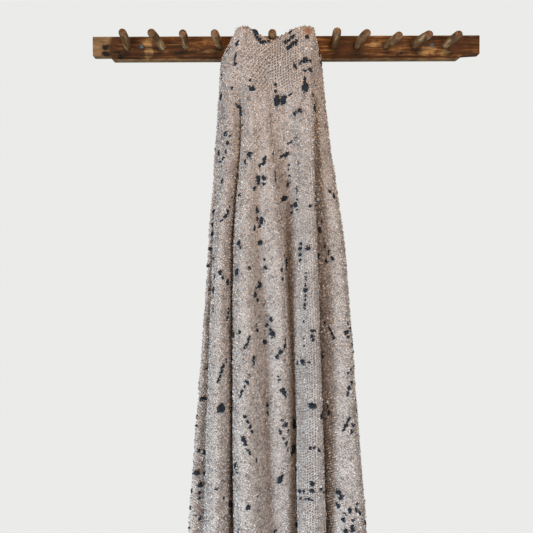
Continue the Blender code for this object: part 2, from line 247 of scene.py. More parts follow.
# A row for each mark on the board's face: its middle, its half width and half height in
# millimetres, and how dark (negative) or pale (positive) it is
MARK_COLUMNS = ("x", "z", "wide", "high", "tone")
BOARD_MARKS = (
    (-402.0, 4.0, 16, 9, -0.9),
    (-397.0, -10.0, 13, 8, -0.8),
    (-372.0, -16.0, 13, 11, -1.0),
    (-247.0, -12.0, 12, 6, -0.8),
    (-307.0, -2.0, 14, 28, 0.8),
    (316.0, -6.0, 22, 13, 0.9),
    (352.0, -12.0, 12, 8, 0.5),
    (196.0, 8.0, 26, 7, 0.5),
    (-180.0, -8.0, 30, 7, 0.4),
    (258.0, -12.0, 15, 6, -0.6),
)
MARK_DEEP = 50.0 * MM
MARK_STRENGTH = 2.2
MARK_IN_GRAIN = (2.6, -0.75)
MARK_PALE = (0.46, 0.235, 0.085, 1.0)
MARK_DARK = (0.012, 0.006, 0.004, 1.0)
# How far the marks' edges stray along the board, into it and up, in metres
MARK_STRAY = (0.05, 0.0, 0.022)
# The tan left end: how sharply it ends along the board, how far that edge strays, how
# much it covers, and its wood from dark to pale
TAN_END = (-90.0, -33.6)
TAN_STRAY = 0.03
TAN_SHARE = 0.85
TAN_WOOD = ((0.3, (0.13, 0.062, 0.024)), (0.55, (0.3, 0.165, 0.072)), (0.75, (0.42, 0.25, 0.12)))
# The rubbed top edge and lip: how sharply each begins, how far both stray, how much they cover
TOP_RUB = (420.0, -11.3)
LIP_RUB = (-420.0, -8.7)
RUB_STRAY = 0.006
RUB_SHARE = 0.55


def make_board_finish():
    """Dark waxed softwood, tan at its left end, rubbed pale on its edges."""
    made, tree, shader = new_material("waxed board")
    place = object_place(tree)
    spot = split_up(tree, place)
    grain = wood_of(tree, place, BOARD_STRETCH, *BOARD_WOOD)
    ragged = noise_of(tree, place, scale=60.0, detail=4.0)
    inward = sum_of(tree, "MULTIPLY_ADD", ragged["Fac"], TAN_STRAY, spot["X"])
    tan_share = sum_of(tree, "MULTIPLY", steepen(tree, inward, *TAN_END), TAN_SHARE)
    colour = blend_colour(tree, tan_share, grain["Color"], ramp_of(tree, grain["Streak"], *TAN_WOOD))
    moved = strayed(tree, place, ragged["Color"], MARK_STRAY)
    worn = steepen(tree, grain["Streak"], *MARK_IN_GRAIN)
    for row in BOARD_MARKS:
        mark = dict(zip(MARK_COLUMNS, row))
        middle = (mark["x"] * MM, BOARD_FACE, mark["z"] * MM)
        mask = near(tree, moved, middle, (mark["wide"] * MM, MARK_DEEP, mark["high"] * MM))
        mask = sum_of(tree, "MULTIPLY", mask, abs(mark["tone"]) * MARK_STRENGTH, clamp=True)
        if mark["tone"] > 0:
            colour = blend_colour(tree, sum_of(tree, "MULTIPLY", mask, worn), colour, MARK_PALE)
        else:
            colour = blend_colour(tree, mask, colour, MARK_DARK)
    height = sum_of(tree, "MULTIPLY_ADD", ragged["Fac"], RUB_STRAY, spot["Z"])
    rub = sum_of(tree, "MAXIMUM", steepen(tree, height, *TOP_RUB), steepen(tree, height, *LIP_RUB))
    colour = blend_colour(tree, sum_of(tree, "MULTIPLY", rub, RUB_SHARE), colour, BOARD_RUBBED)
    finish_wood(tree, shader, grain, colour, rough=0.45, shine=0.18, relief=0.6, depth=0.0016)
    return made


def finish_node(node, made):
    """Give a carried-over piece its finish."""
    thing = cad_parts[node]
    thing.data.materials.clear()
    thing.data.materials.append(made)


finish_node("board", make_board_finish())

# The screws.  Two low domed heads of dull blue-grey steel hold the board to the wall.
# They stay as modelled; their finish has the stains and scratches of old plating.

STEEL_STAINS = ((0.35, (0.03, 0.036, 0.034)), (0.65, (0.14, 0.16, 0.15)))
STEEL_ROUGH = (0.4, 0.45)


def make_screw_finish():
    """Dull plated steel, stained in patches."""
    made, tree, shader = new_material("dull screw steel")
    stain = noise_of(tree, object_place(tree), scale=500.0, detail=4.0)["Fac"]
    colour = ramp_of(tree, stain, *STEEL_STAINS)
    rough = sum_of(tree, "MULTIPLY_ADD", stain, *STEEL_ROUGH)
    set_sockets(tree, shader, {"Base Color": colour, "Metallic": 0.5, "Roughness": rough})
    return made


screw_steel = make_screw_finish()
for screw in ("screw_1", "screw_2"):
    finish_node(screw, screw_steel)

# The pegs.  Twelve crooked sticks shaved round by hand and glued into the board.
# Each is extruded ring by ring along its bent line, rounded at the tip, and roughened.

PEG_RADIUS = 9.0 * MM
PEG_START = 1.2 * MM
# A row for each peg: its root (x, z), its tip (x, z), its reach from the board, its
# girth, and how far its middle bows sideways and up, all lengths in millimetres
PEG_COLUMNS = ("root_x", "root_z", "tip_x", "tip_z", "reach", "girth", "bow_x", "bow_z")
PEGS = (
    (-353.8, 3.0, -345.0, 5.5, 87, 0.98, 1.0, 1.2),
    (-275.0, 3.0, -285.0, 5.2, 86, 1.02, -0.8, 0.8),
    (-223.0, 5.5, -219.0, 4.0, 85, 0.97, 0.8, -0.6),
    (-147.7, 4.5, -152.5, 3.5, 86, 1.00, -1.2, 0.9),
    (-89.0, 4.5, -95.0, 2.5, 83, 0.96, 0.0, 0.0),
    (-29.5, 4.5, -32.0, 3.5, 86, 1.00, 0.3, 0.2),
    (43.3, 4.5, 42.0, 2.5, 83, 0.96, 0.0, 0.0),
    (104.5, 3.5, 103.5, 6.0, 87, 1.02, 1.0, 0.5),
    (157.0, 5.0, 167.0, 2.5, 86, 1.00, -1.2, 0.8),
    (221.0, 5.0, 234.0, -2.5, 85, 0.98, 0.9, -0.7),
    (284.5, 5.0, 297.0, -1.0, 86, 1.00, -1.0, 0.8),
    (354.0, 4.5, 358.0, -1.5, 86, 1.02, 1.2, 0.4),
)
# Rings from root to tip: share of the reach and share of the radius
PEG_RINGS = ((0.08, 0.93), (0.18, 0.96), (0.3, 0.99), (0.42, 1.0), (0.54, 1.02), (0.66, 1.02),
             (0.78, 1.0), (0.88, 0.99), (0.945, 0.96), (0.975, 0.88), (0.992, 0.74), (1.0, 0.5))
PEG_SIDES = 26
PEG_TIP_INSET = 0.2
PEG_BUMPS = 1.3 * MM
PEG_BUMPS_MIDDLE = 0.62
KNIFE_MARK = 0.016
KNIFE_MARK_STEP = 0.002
PEG_SMOOTH_BELOW = 50
PEG_STRETCH = 7.0
PEG_WOOD = ((0.06, 0.023, 0.008, 1.0), (0.30, 0.15, 0.06, 1.0), (0.66, 0.45, 0.25, 1.0))
# The tip's end grain and the painted shade at the root, where the peg meets the board:
# how sharply each begins along the peg, how much it covers, and its colour
TIP_FROM = (-420.0, -43.2)
TIP_SHARE = 0.8
TIP_CELLS = 190.0
TIP_WOOD = ((0.2, (0.07, 0.03, 0.014)), (0.7, (0.24, 0.12, 0.055)))
ROOT_SHADE_FROM = (90.0, 2.5)
ROOT_SHADE_SHARE = 0.6
ROOT_PAINTED_SHADE = (0.035, 0.015, 0.007, 1.0)


def make_peg_finish():
    """Shaved stick: reddish brown with pale streaks, darker ringed end grain, and painted shade at its root.
    """
    made, tree, shader = new_material("shaved peg")
    place = object_place(tree)
    along = split_up(tree, place)["Y"]
    turned = add_node(tree, "ShaderNodeMapping", {"Vector": place, "Rotation": (0.0, 0.0, math.pi / 2)})
    grain = wood_of(tree, turned.outputs[0], PEG_STRETCH, *PEG_WOOD)
    tip = sum_of(tree, "MULTIPLY", steepen(tree, along, *TIP_FROM), TIP_SHARE)
    rings = ramp_of(tree, cells_of(tree, place, TIP_CELLS), *TIP_WOOD)
    colour = blend_colour(tree, tip, grain["Color"], rings)
    # Painted shade: the peg darkens toward its root, where it meets the board.
    root = sum_of(tree, "MULTIPLY", steepen(tree, along, *ROOT_SHADE_FROM), ROOT_SHADE_SHARE)
    colour = blend_colour(tree, root, colour, ROOT_PAINTED_SHADE)
    finish_wood(tree, shader, grain, colour, rough=0.4, shine=0.22, relief=0.7, depth=0.0015)
    return made


def nothing_selected():
    """Deselect everything, because an operator acts on all that is selected."""
    bpy.ops.object.select_all(action="DESELECT")


def make_peg(number, row, made):
    """One peg, extruded ring by ring from a disc against the board."""
    peg = dict(zip(PEG_COLUMNS, row))
    root = Vector((peg["root_x"] * MM, BOARD_FACE - PEG_START, peg["root_z"] * MM))
    tip = Vector((peg["tip_x"] * MM, BOARD_FACE - peg["reach"] * MM, peg["tip_z"] * MM))
    bow = Vector((peg["bow_x"], 0.0, peg["bow_z"])) * MM
    radius = PEG_RADIUS * peg["girth"]
    nothing_selected()
    bpy.ops.mesh.primitive_circle_add(vertices=PEG_SIDES, radius=radius * PEG_RINGS[0][1], location=root,
                                      rotation=(math.pi / 2, 0.0, 0.0), fill_type="NGON")
    stick = bpy.context.object
    stick.name = f"stick_{number:02d}"
    bpy.ops.object.transform_apply(location=True, rotation=True, scale=True)
    bpy.ops.object.mode_set(mode="EDIT")
    bpy.ops.mesh.select_all(action="SELECT")
    before, girth = root, PEG_RINGS[0][1]
    for share, ring in PEG_RINGS:
        centre = root.lerp(tip, share) + bow * math.sin(math.pi * share)
        bpy.ops.mesh.extrude_region_move(TRANSFORM_OT_translate={"value": centre - before})
        bpy.ops.transform.resize(value=(ring / girth, 1.0, ring / girth), center_override=centre)
        before, girth = centre, ring
    bpy.ops.mesh.inset(thickness=radius * PEG_TIP_INSET)
    bpy.ops.mesh.select_all(action="SELECT")
    bpy.ops.mesh.normals_make_consistent(inside=False)
    bpy.ops.object.mode_set(mode="OBJECT")
    bumps = bpy.data.textures.new(f"knife marks {number}", "CLOUDS")
    bumps.noise_scale = KNIFE_MARK + KNIFE_MARK_STEP * (number % 3)
    rough = stick.modifiers.new("knife marks", "DISPLACE")
    rough.texture = bumps
    rough.texture_coords = "LOCAL"
    rough.strength = PEG_BUMPS
    rough.mid_level = PEG_BUMPS_MIDDLE
    bpy.ops.object.modifier_apply(modifier="knife marks")
    bpy.ops.object.shade_smooth_by_angle(angle=math.radians(PEG_SMOOTH_BELOW))
    stick.data.materials.append(made)
    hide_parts(f"peg_{number:02d}")
    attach(stick, "root")


peg_finish = make_peg_finish()
for peg_number, peg_row in enumerate(PEGS, 1):
    make_peg(peg_number, peg_row, peg_finish)

# The throw.  One loosely woven sheet of curly wool, cut 1 m by 1.5 m, hung over two
# pegs so that it falls in deep folds in front and comes round to the back at both
# sides.  It is worked out from the line where it turns over the pegs and from a row
# of sizes for each crest and hollow, as a fine closed sheet.

CLOTH_THICK = 2.2
STEPS_PER_FOLD = 7
ARCH_STEPS = 18
FLAP_STEPS = 16
FALL_ROWS = 128
FALL_POWER = 1.25
FLAP_DROP = 150.0
FLAP_GATHER = 0.8
FLAP_CENTRE = Vector((-27.0, -55.0))
SHOULDER_Z = -60.0
UPPER_Z = -200.0
MID_Z = -450.0
LOW_Z = -1050.0
END_Z = -1380.0
SPREAD_BELOW_LOW = 0.45
FLARE = 1.6
ARCH_OVER_PEG = 16.0
ARCH_IN_SAG = 8.0
RIDGE_HIGH = 16.0
RIDGE_LOW = -10.0
DRIFT = 2.2
DRIFT_WAVE = 310.0
DRIFT_TURN = 0.83
DRIFT_SIDEWAYS = 2.0
DRIFT_FORWARD = 1.7
CREASE_ENDS = 6.0
# The small waves are flatter over the pegs and grow in over the first rows of the fall
WAVES_ON_PEGS = 0.25
WAVES_GROW_OVER = 8.0

# The line where the throw turns over, from the left rear over the fifth peg, along
# the sagging front and back over the seventh peg
RIDGE_COLUMNS = ("outer_x", "outer_y", "inner_x", "inner_y", "top_z")
RIDGE = (
    (-102.5, -28, -75.5, -28, 18.0),
    (-104.5, -46, -76.5, -44, 18.0),
    (-105.5, -66, -78.0, -60, 17.6),
    (-108.0, -86, -79.0, -74, 17.2),
    (-109.0, -102, -78.5, -84, 16.2),
    (-97.0, -113, -75.5, -90.5, 15.6),
    (-77.0, -111, -69.0, -92, 9.0),
    (-60.0, -108, -57.5, -90, 0.0),
    (-46.5, -105, -45.5, -87.5, -4.5),
    (-31.5, -103, -31.5, -86, -10.0),
    (-17.0, -105, -18.0, -87.5, -5.0),
    (-1.0, -109, -3.5, -90, 2.5),
    (18.0, -112, 12.0, -92, 11.5),
    (42.0, -113, 25.0, -90, 15.6),
    (55.5, -105, 26.5, -83, 16.2),
    (56.5, -88, 28.0, -72, 16.8),
    (57.5, -68, 29.0, -58, 17.2),
    (57.5, -46, 30.0, -44, 17.6),
    (57.5, -28, 30.5, -28, 18.0),
)

# A row for each crest, edge and hollow, from the left side edge to the right one: its
# place along the ridge, its plan place at four heights, and where the cloth ends
FOLD_COLUMNS = ("name", "on_ridge", "shoulder", "upper", "mid", "low", "end_z")
FOLDS = (
    ("left edge", 0.0, (-121, -29), (-90, -31), (-48, -33), (-60, -32), -640),
    ("back hollow", 0.6, (-126, -30), (-105, -24), (-76, -19), (-86, -16), -800),
    ("back crest", 1.2, (-130, -32), (-116, -32), (-98, -44), (-104, -74), -960),
    ("back hollow", 1.7, (-134, -36), (-128, -25), (-122, -20), (-132, -18), -1090),
    ("back crest", 2.2, (-137, -41), (-138, -33), (-139, -38), (-157, -66), -1200),
    ("back hollow", 2.7, (-140, -47), (-146, -31), (-157, -22), (-189, -19), -1275),
    ("left corner", 3.1, (-142, -54), (-150, -43), (-168, -38), (-208, -36), -1310),
    ("left side", 3.5, (-141, -64), (-151, -61), (-171, -62), (-213, -63), -1300),
    ("side hollow", 3.9, (-137, -78), (-145, -70), (-161, -54), (-184, -52), -1288),
    ("second fold, left edge", 4.3, (-130, -92), (-135, -92), (-154, -88), (-181, -95), -1284),
    ("second fold, crest", 4.9, (-118, -104), (-121, -107), (-142, -108), (-156, -120), -1278),
    ("second fold, slope", 5.4, (-106, -109), (-108, -97), (-128, -88), (-137, -93), -1282),
    ("first valley", 5.8, (-97, -110), (-100, -83), (-118, -54), (-126, -46), -1288),
    ("third fold, left edge", 6.1, (-89, -112), (-91, -105), (-110, -100), (-115, -104), -1290),
    ("third fold, crest", 6.6, (-78, -113), (-79, -118), (-94, -124), (-94, -136), -1293),
    ("third fold, inner edge", 7.1, (-67, -113), (-68, -117), (-78, -118), (-68, -119), -1293),
    ("trough", 7.5, (-60, -113), (-59, -115), (-62, -99), (-57, -66), -1290),
    ("third fold, low crest", 8.0, (-53, -113), (-47, -116), (-34, -114), (-26, -80), -1287),
    ("third fold, right edge", 8.5, (-46, -113), (-38, -112), (-16, -106), (0, -76), -1285),
    ("second valley, turn", 8.8, (-42, -112), (-34, -106), (-11, -62), (11, -53), -1285),
    ("second valley", 9.2, (-36, -111), (-22, -102), (0, -58), (22, -51), -1287),
    ("column, left edge", 9.8, (-26, -111), (6, -96), (10, -78), (22, -110), -1290),
    ("column, crest", 11.6, (10, -113), (26, -113), (36, -113), (46, -133), -1293),
    ("column, right edge", 13.0, (43, -113), (47, -118), (56, -117), (71, -116), -1292),
    ("third valley, turn", 13.4, (49, -110), (50, -99), (60, -80), (75, -78), -1288),
    ("third valley", 13.7, (54, -104), (55, -77), (65, -49), (86, -41), -1286),
    ("right fold, slope", 14.2, (61, -97), (63, -81), (76, -63), (98, -86), -1290),
    ("right fold, crest", 14.8, (67, -85), (70, -92), (94, -80), (122, -110), -1295),
    ("right fold, shoulder", 15.4, (72, -72), (81, -80), (112, -82), (153, -99), -1298),
    ("right side", 16.1, (74, -57), (88, -60), (122, -60), (168, -64), -1306),
    ("right corner", 16.7, (73, -46), (86, -43), (118, -38), (164, -36), -1316),
    ("back hollow", 17.0, (70, -40), (80, -31), (104, -21), (146, -19), -1260),
    ("back crest", 17.3, (65, -36), (70, -34), (89, -38), (121, -66), -1140),
    ("back hollow", 17.6, (58, -33), (58, -26), (68, -20), (91, -18), -1000),
    ("back crest", 17.8, (54, -31), (49, -32), (46, -38), (60, -66), -850),
    ("right edge", 18.0, (49, -29), (40, -29), (26, -25), (34, -21), -690),
)
# Where a fold strays from its line: the fold, the height of the middle of the stretch,
# its half width in folds, its half length, and how far it goes right and forward
SWAY_COLUMNS = ("fold", "z", "wide", "long", "right", "forward")
SWAYS = (
    (20.7, -760, 1.3, 190, 8.0, 0.0),
    (16.6, -640, 1.0, 160, 5.0, -5.0),
)
# Creases and small buckles: the fold they lie on, the height of their middle, how far
# they lean across the folds for each millimetre of height, their width in folds,
# their half length, and how far they stand out (in when negative)
CREASE_COLUMNS = ("fold", "z", "lean", "wide", "long", "out")
CREASES = (
    (14.4, -40, 0.010, 0.35, 60, 1.8),
    (15.6, -34, 0.016, 0.40, 46, -1.8),
    (17.3, -70, 0.000, 0.60, 70, -1.6),
    (21.4, -40, -0.014, 0.30, 44, 1.8),
    (22.4, -55, -0.006, 0.35, 60, -1.6),
    (23.2, -120, -0.001, 0.30, 80, 1.2),
    (22.5, -330, 0.001, 0.40, 110, -1.4),
    (14.6, -260, 0.003, 0.40, 90, 1.6),
    (16.2, -330, -0.003, 0.50, 100, -2.2),
    (17.4, -520, 0.001, 0.50, 130, 2.0),
    (10.4, -310, 0.001, 0.40, 120, 1.4),
    (9.7, -600, 0.000, 0.40, 140, -1.5),
    (14.2, -700, 0.001, 0.40, 150, -1.6),
    (16.9, -860, 0.001, 0.60, 150, 1.8),
    (22.2, -760, 0.000, 0.50, 130, 1.4),
    (27.5, -300, 0.003, 0.50, 90, -1.8),
    (28.2, -560, 0.001, 0.50, 150, 1.8),
    (27.2, -820, 0.001, 0.60, 150, -1.8),
    (28.6, -980, 0.002, 0.50, 120, 1.6),
    (7.6, -380, 0.001, 0.40, 120, 1.4),
    (7.4, -800, 0.000, 0.50, 150, -1.6),
)
BROAD_WAVE = 1.5
BROAD_SIZE = 70.0
FINE_WAVE = 0.7
FINE_SIZE = 17.0

def curve_through(points, place):
    """A Catmull-Rom curve through points, read at a place counted in points."""
    last = len(points) - 1
    k = min(int(place), last - 1)
    u = place - k
    before = points[max(k - 1, 0)]
    start, end = points[k], points[k + 1]
    after = points[min(k + 2, last)]
    return 0.5 * (
        2 * start
        + (end - before) * u
        + (2 * before - 5 * start + 4 * end - after) * u * u
        + (3 * start - before - 3 * end + after) * u * u * u
    )


def soft_slope(above, below, slope_above, slope_below):
    """A slope between two stretches that never carries the curve past its stations."""
    if slope_above * slope_below <= 0.0:
        return 0.0
    return (above + below) / (above / slope_above + below / slope_below)


def plan_at(z, knots, places):
    """Where one column of the cloth is at height z: a smooth line through its stations."""
    last = len(knots) - 1
    k = 0
    while k < last - 1 and z < knots[k + 1]:
        k += 1
    slopes = [(places[j + 1] - places[j]) / (knots[j + 1] - knots[j]) for j in range(last)]
    tangents = [slopes[0] * FLARE]
    for j in range(1, last):
        above, below = knots[j - 1] - knots[j], knots[j] - knots[j + 1]
        pairs = zip(slopes[j - 1], slopes[j])
        tangents.append(Vector([soft_slope(above, below, a, b) for a, b in pairs]))
    tangents.append(slopes[-1])
    span = knots[k + 1] - knots[k]
    u = (z - knots[k]) / span
    return (
        places[k] * (2 * u**3 - 3 * u**2 + 1)
        + tangents[k] * span * (u**3 - 2 * u**2 + u)
        + places[k + 1] * (3 * u**2 - 2 * u**3)
        + tangents[k + 1] * span * (u**3 - u**2)
    )


def sway_at(place, z):
    """How far right and back the cloth strays at one place and height."""
    aside, back = 0.0, 0.0
    for row in SWAYS:
        sway = dict(zip(SWAY_COLUMNS, row))
        across = (place - sway["fold"]) / sway["wide"]
        along = (z - sway["z"]) / sway["long"]
        share = math.exp(-across * across - along * along)
        aside += sway["right"] * share
        back -= sway["forward"] * share
    return aside, back


def buckle(place, z):
    """How far the creases push one point of the cloth out, in millimetres."""
    out = 0.0
    for row in CREASES:
        crease = dict(zip(CREASE_COLUMNS, row))
        across = (place - crease["fold"] - crease["lean"] * (crease["z"] - z)) / crease["wide"]
        along = (z - crease["z"]) / crease["long"]
        reach = across * across + along * along
        if reach < CREASE_ENDS:
            out += crease["out"] * math.exp(-reach)
    return out


def cloth_line(place, ridge, folds):
    """The middle line of the cloth at one place round it, from the flap's hem down."""
    along, end_z = curve_through(folds["on_ridge"], place)
    along = min(max(along, 0.0), len(RIDGE) - 1.0)
    outer_z = curve_through(ridge["outer"], along)
    outer, top_z = outer_z.to_2d(), outer_z.z
    inner = curve_through(ridge["inner"], along).to_2d()
    shoulder, upper, mid, low = (curve_through(folds[level], place) for level in FOLD_COLUMNS[2:6])
    rise = min(max((top_z - RIDGE_LOW) / (RIDGE_HIGH - RIDGE_LOW), 0.0), 1.0)
    arch = ARCH_IN_SAG + (ARCH_OVER_PEG - ARCH_IN_SAG) * rise
    spring = top_z - arch
    gathered = FLAP_CENTRE + (inner - FLAP_CENTRE) * FLAP_GATHER
    points = []
    for step in range(FLAP_STEPS):
        share = 1.0 - step / FLAP_STEPS
        x, y = inner.lerp(gathered, share)
        points.append((x, y, spring - FLAP_DROP * share))
    middle, half = (outer + inner) / 2, (outer - inner) / 2
    for step in range(ARCH_STEPS + 1):
        turn = math.pi * (1.0 - step / ARCH_STEPS)
        x, y = middle + half * math.cos(turn)
        points.append((x, y, spring + arch * math.sin(turn)))
    knots = [spring, SHOULDER_Z, UPPER_Z, MID_Z, LOW_Z, END_Z]
    places = [outer, shoulder, upper, mid, low, low + (low - mid) * SPREAD_BELOW_LOW]
    for step in range(1, FALL_ROWS + 1):
        z = spring + (end_z - spring) * (step / FALL_ROWS) ** FALL_POWER
        x, y = plan_at(z, knots, places)
        depth = min(max((SHOULDER_Z - z) / (SHOULDER_Z - LOW_Z), 0.0), 1.0)
        turn = z / DRIFT_WAVE + place * DRIFT_TURN
        aside, back = sway_at(place, z)
        x += DRIFT * depth * math.sin(turn * DRIFT_SIDEWAYS) + aside
        y += DRIFT * depth * math.cos(turn * DRIFT_FORWARD) + back
        points.append((x, y, z))
    return points


def normals_of(sheet):
    """Unit normals of a grid of points, to the side that faces the room."""
    across = np.gradient(sheet, axis=0)
    down = np.gradient(sheet, axis=1)
    square = np.cross(down, across)
    return square / np.linalg.norm(square, axis=2, keepdims=True)


def make_sheet_grid():
    """The cloth's middle surface as a grid of points, columns round it, rows down it."""
    ridge_rows = [dict(zip(RIDGE_COLUMNS, row)) for row in RIDGE]
    ridge = {
        "outer": [Vector((r["outer_x"], r["outer_y"], r["top_z"])) for r in ridge_rows],
        "inner": [Vector((r["inner_x"], r["inner_y"], r["top_z"])) for r in ridge_rows],
    }
    fold_rows = [dict(zip(FOLD_COLUMNS, row)) for row in FOLDS]
    folds = {level: [Vector(f[level]) for f in fold_rows] for level in FOLD_COLUMNS[2:6]}
    folds["on_ridge"] = [Vector((f["on_ridge"], f["end_z"])) for f in fold_rows]
    places = [step / STEPS_PER_FOLD for step in range((len(FOLDS) - 1) * STEPS_PER_FOLD + 1)]
    sheet = np.array([cloth_line(place, ridge, folds) for place in places])
    out = normals_of(sheet)
    push = np.zeros(sheet.shape[:2])
    hanging = FLAP_STEPS + ARCH_STEPS
    for c, place in enumerate(places):
        for r in range(sheet.shape[1]):
            spot = Vector(sheet[c, r])
            waves = BROAD_WAVE * noise.noise(spot / BROAD_SIZE)
            waves += FINE_WAVE * noise.noise(spot / FINE_SIZE)
            if r > hanging:
                waves = (waves + buckle(place, spot.z)) * min((r - hanging) / WAVES_GROW_OVER, 1.0)
            else:
                waves *= WAVES_ON_PEGS
            push[c, r] = waves
    return (sheet + out * push[:, :, None]) * MM


sheet_grid = make_sheet_grid()
sheet_out = normals_of(sheet_grid)

# The weave runs its own way on each stretch of cloth between two hollows: the stretch
# ends at this fold, and its warp leans this many degrees from the way it falls
STRETCHES = (
    (5.5, 38.0), (8.0, 38.0), (12.0, 34.0), (19.5, 31.0), (24.7, 0.0), (30.5, -29.0), (35.0, -38.0),
)
# Added to each place in the weave, so that all of them are above nothing
WEAVE_START = 2.0


def weave_maps():
    """For each stretch, how far each point lies along the weft and the warp."""
    steps_across = np.linalg.norm(np.diff(sheet_grid, axis=0), axis=2)
    across = np.vstack([np.zeros((1, sheet_grid.shape[1])), np.cumsum(steps_across, axis=0)])
    steps_down = np.linalg.norm(np.diff(sheet_grid, axis=1), axis=2)
    down = np.hstack([np.zeros((sheet_grid.shape[0], 1)), np.cumsum(steps_down, axis=1)])
    maps = []
    before = 0.0
    for end, lean in STRETCHES:
        middle = int(round((before + end) / 2 * STEPS_PER_FOLD))
        turn = math.radians(lean)
        aside = across - across[middle]
        fall = down - down[middle, FLAP_STEPS + ARCH_STEPS // 2]
        weft = aside * math.cos(turn) + fall * math.sin(turn)
        warp = fall * math.cos(turn) - aside * math.sin(turn)
        maps.append(np.stack([weft, warp], axis=2) + WEAVE_START)
        before = end
    return maps


def stretch_of(place):
    """Which stretch of the weave a place round the cloth belongs to."""
    return next((k for k, (end, lean) in enumerate(STRETCHES) if place <= end), len(STRETCHES) - 1)


def make_throw_mesh():
    """The closed sheet: its outer face, its inner face and the rim between them."""
    columns, rows = sheet_grid.shape[:2]
    half = sheet_out * (CLOTH_THICK / 2 * MM)
    points = np.concatenate([(sheet_grid + half).reshape(-1, 3), (sheet_grid - half).reshape(-1, 3)])
    inner = columns * rows
    faces, stretches = [], []
    for c in range(columns - 1):
        stretch = stretch_of((c + 0.5) / STEPS_PER_FOLD)
        for r in range(rows - 1):
            corner = c * rows + r
            ring = (corner, corner + 1, corner + rows + 1, corner + rows)
            faces.append(ring)
            faces.append(tuple(inner + k for k in reversed(ring)))
            stretches += [stretch, stretch]
    rim = [c * rows for c in range(columns)]
    rim += [(columns - 1) * rows + r for r in range(1, rows)]
    rim += [c * rows + rows - 1 for c in range(columns - 2, -1, -1)]
    rim += [r for r in range(rows - 2, 0, -1)]
    for k, corner in enumerate(rim):
        after = rim[(k + 1) % len(rim)]
        faces.append((corner, after, inner + after, inner + corner))
        stretches.append(stretch_of((corner // rows) / STEPS_PER_FOLD))
    mesh = bpy.data.meshes.new("throw_cloth")
    mesh.from_pydata(points.tolist(), [], faces)
    maps = weave_maps()
    flat = np.zeros((len(mesh.loops), 2))
    corner = 0
    for face, stretch in zip(faces, stretches):
        for k in face:
            flat[corner] = maps[stretch][(k % inner) // rows, (k % inner) % rows]
            corner += 1
    layer = mesh.uv_layers.new(name="weave")
    layer.data.foreach_set("uv", flat.ravel().astype(np.float32))
    mesh.shade_smooth()
    mesh.update()
    return mesh


throw = bpy.data.objects.new("throw_cloth", make_throw_mesh())
bpy.context.scene.collection.objects.link(throw)

WEAVE_PITCH = 0.0056
YARN_STRAY = (0.0062, 0.0062, 0.0)
YARN_RELIEF = 0.0022
# How a gap opens, by the openness wanted and by chance, and how sharp its edge is
GAP_BY_OPENNESS = (-0.42, 1.32)
GAP_BY_CHANCE = -0.5
GAP_EDGE = 5.0
# How loops and small nubs make the yarn's tone, and how round it lies: gains and shifts
LOOPS = 0.8
NUBS = (-1.3, 1.0)
NUB_SHARE = 0.35
NUB_CELLS = 380.0
YARN_ROUND = (-0.7, 1.0)


def make_open_weave():
    """Curly yarn in an open plain weave: its gaps, its height and its lit and shaded loops."""
    group, start, end = new_group(
        "open curly weave",
        {"Weave": "Vector", "Place": "Vector", "Openness": "Float"},
        {"Gap": "Float", "Height": "Float", "Curl": "Float"},
    )
    place = start["Place"]
    wander = noise_of(group, place, scale=95.0, detail=3.0, roughness=0.6)["Color"]
    flat = split_up(group, strayed(group, start["Weave"], wander, YARN_STRAY))
    round_yarn = []
    for axis in ("X", "Y"):
        wave = sum_of(group, "SINE", sum_of(group, "MULTIPLY", flat[axis], math.pi / WEAVE_PITCH))
        round_yarn.append(sum_of(group, "ABSOLUTE", wave))
    between = sum_of(group, "MINIMUM", *round_yarn)
    open_here = noise_of(group, place, scale=160.0, detail=2.0)["Fac"]
    limit = sum_of(group, "MULTIPLY_ADD", start["Openness"], *GAP_BY_OPENNESS)
    limit = sum_of(group, "MULTIPLY_ADD", open_here, GAP_BY_CHANCE, limit)
    gap = sum_of(group, "MULTIPLY", sum_of(group, "SUBTRACT", between, limit), GAP_EDGE, clamp=True)
    curls = noise_of(group, place, scale=520.0, detail=3.0, roughness=0.75, distortion=1.2)["Fac"]
    raised = sum_of(group, "MULTIPLY_ADD", cells_of(group, place, NUB_CELLS), *NUBS)
    curl = sum_of(group, "MULTIPLY_ADD", curls, LOOPS, sum_of(group, "MULTIPLY", raised, NUB_SHARE))
    body = sum_of(group, "MULTIPLY_ADD", between, *YARN_ROUND)
    height = sum_of(group, "SUBTRACT", sum_of(group, "MULTIPLY_ADD", curl, LOOPS, body), gap)
    set_sockets(group, end, {"Gap": gap, "Height": height, "Curl": curl})
    return group


open_weave = make_open_weave()
# The wool's painted shade, its own body colour and its painted highlight
WOOL_SHADE = (0.20, 0.140, 0.120, 1.0)
WOOL_BODY = (0.50, 0.387, 0.325, 1.0)
WOOL_LIT = (0.80, 0.68, 0.60, 1.0)
# How much broad patches change the wool's tone, and where its body and lit colours begin
WOOL_PATCHES = 0.35
WOOL_TONE_DOWN = 0.17
WOOL_BODY_FROM = (3.6, -1.0)
WOOL_LIT_FROM = (3.2, -1.75)
GAP_SHADE = (0.065, 0.045, 0.036, 1.0)
GAP_SHARE = 0.92
# Where the cloth is pulled thin, over the pegs and down the turned fold: the middle and
# the half sizes in metres, and how much its weave opens there
THIN_PLACES = (
    ((-0.02, -0.113, -0.05), (0.105, 0.06, 0.11), 1.0),
    ((0.04, -0.13, -0.85), (0.042, 0.08, 0.75), 0.9),
)
OPEN_EVERYWHERE = 0.3
# The seventh peg's tip, which shows through the cloth
PEG_SEEN_THROUGH = (0.0425, -0.114, 0.004)
PEG_SEEN_SIZE = (0.0135, 0.02, 0.0135)
PEG_THROUGH = (0.36, 0.13, 0.035, 1.0)
PEG_IN_GAPS = (4.0, 0.0)
PEG_IN_YARN = (1.3, 0.0)


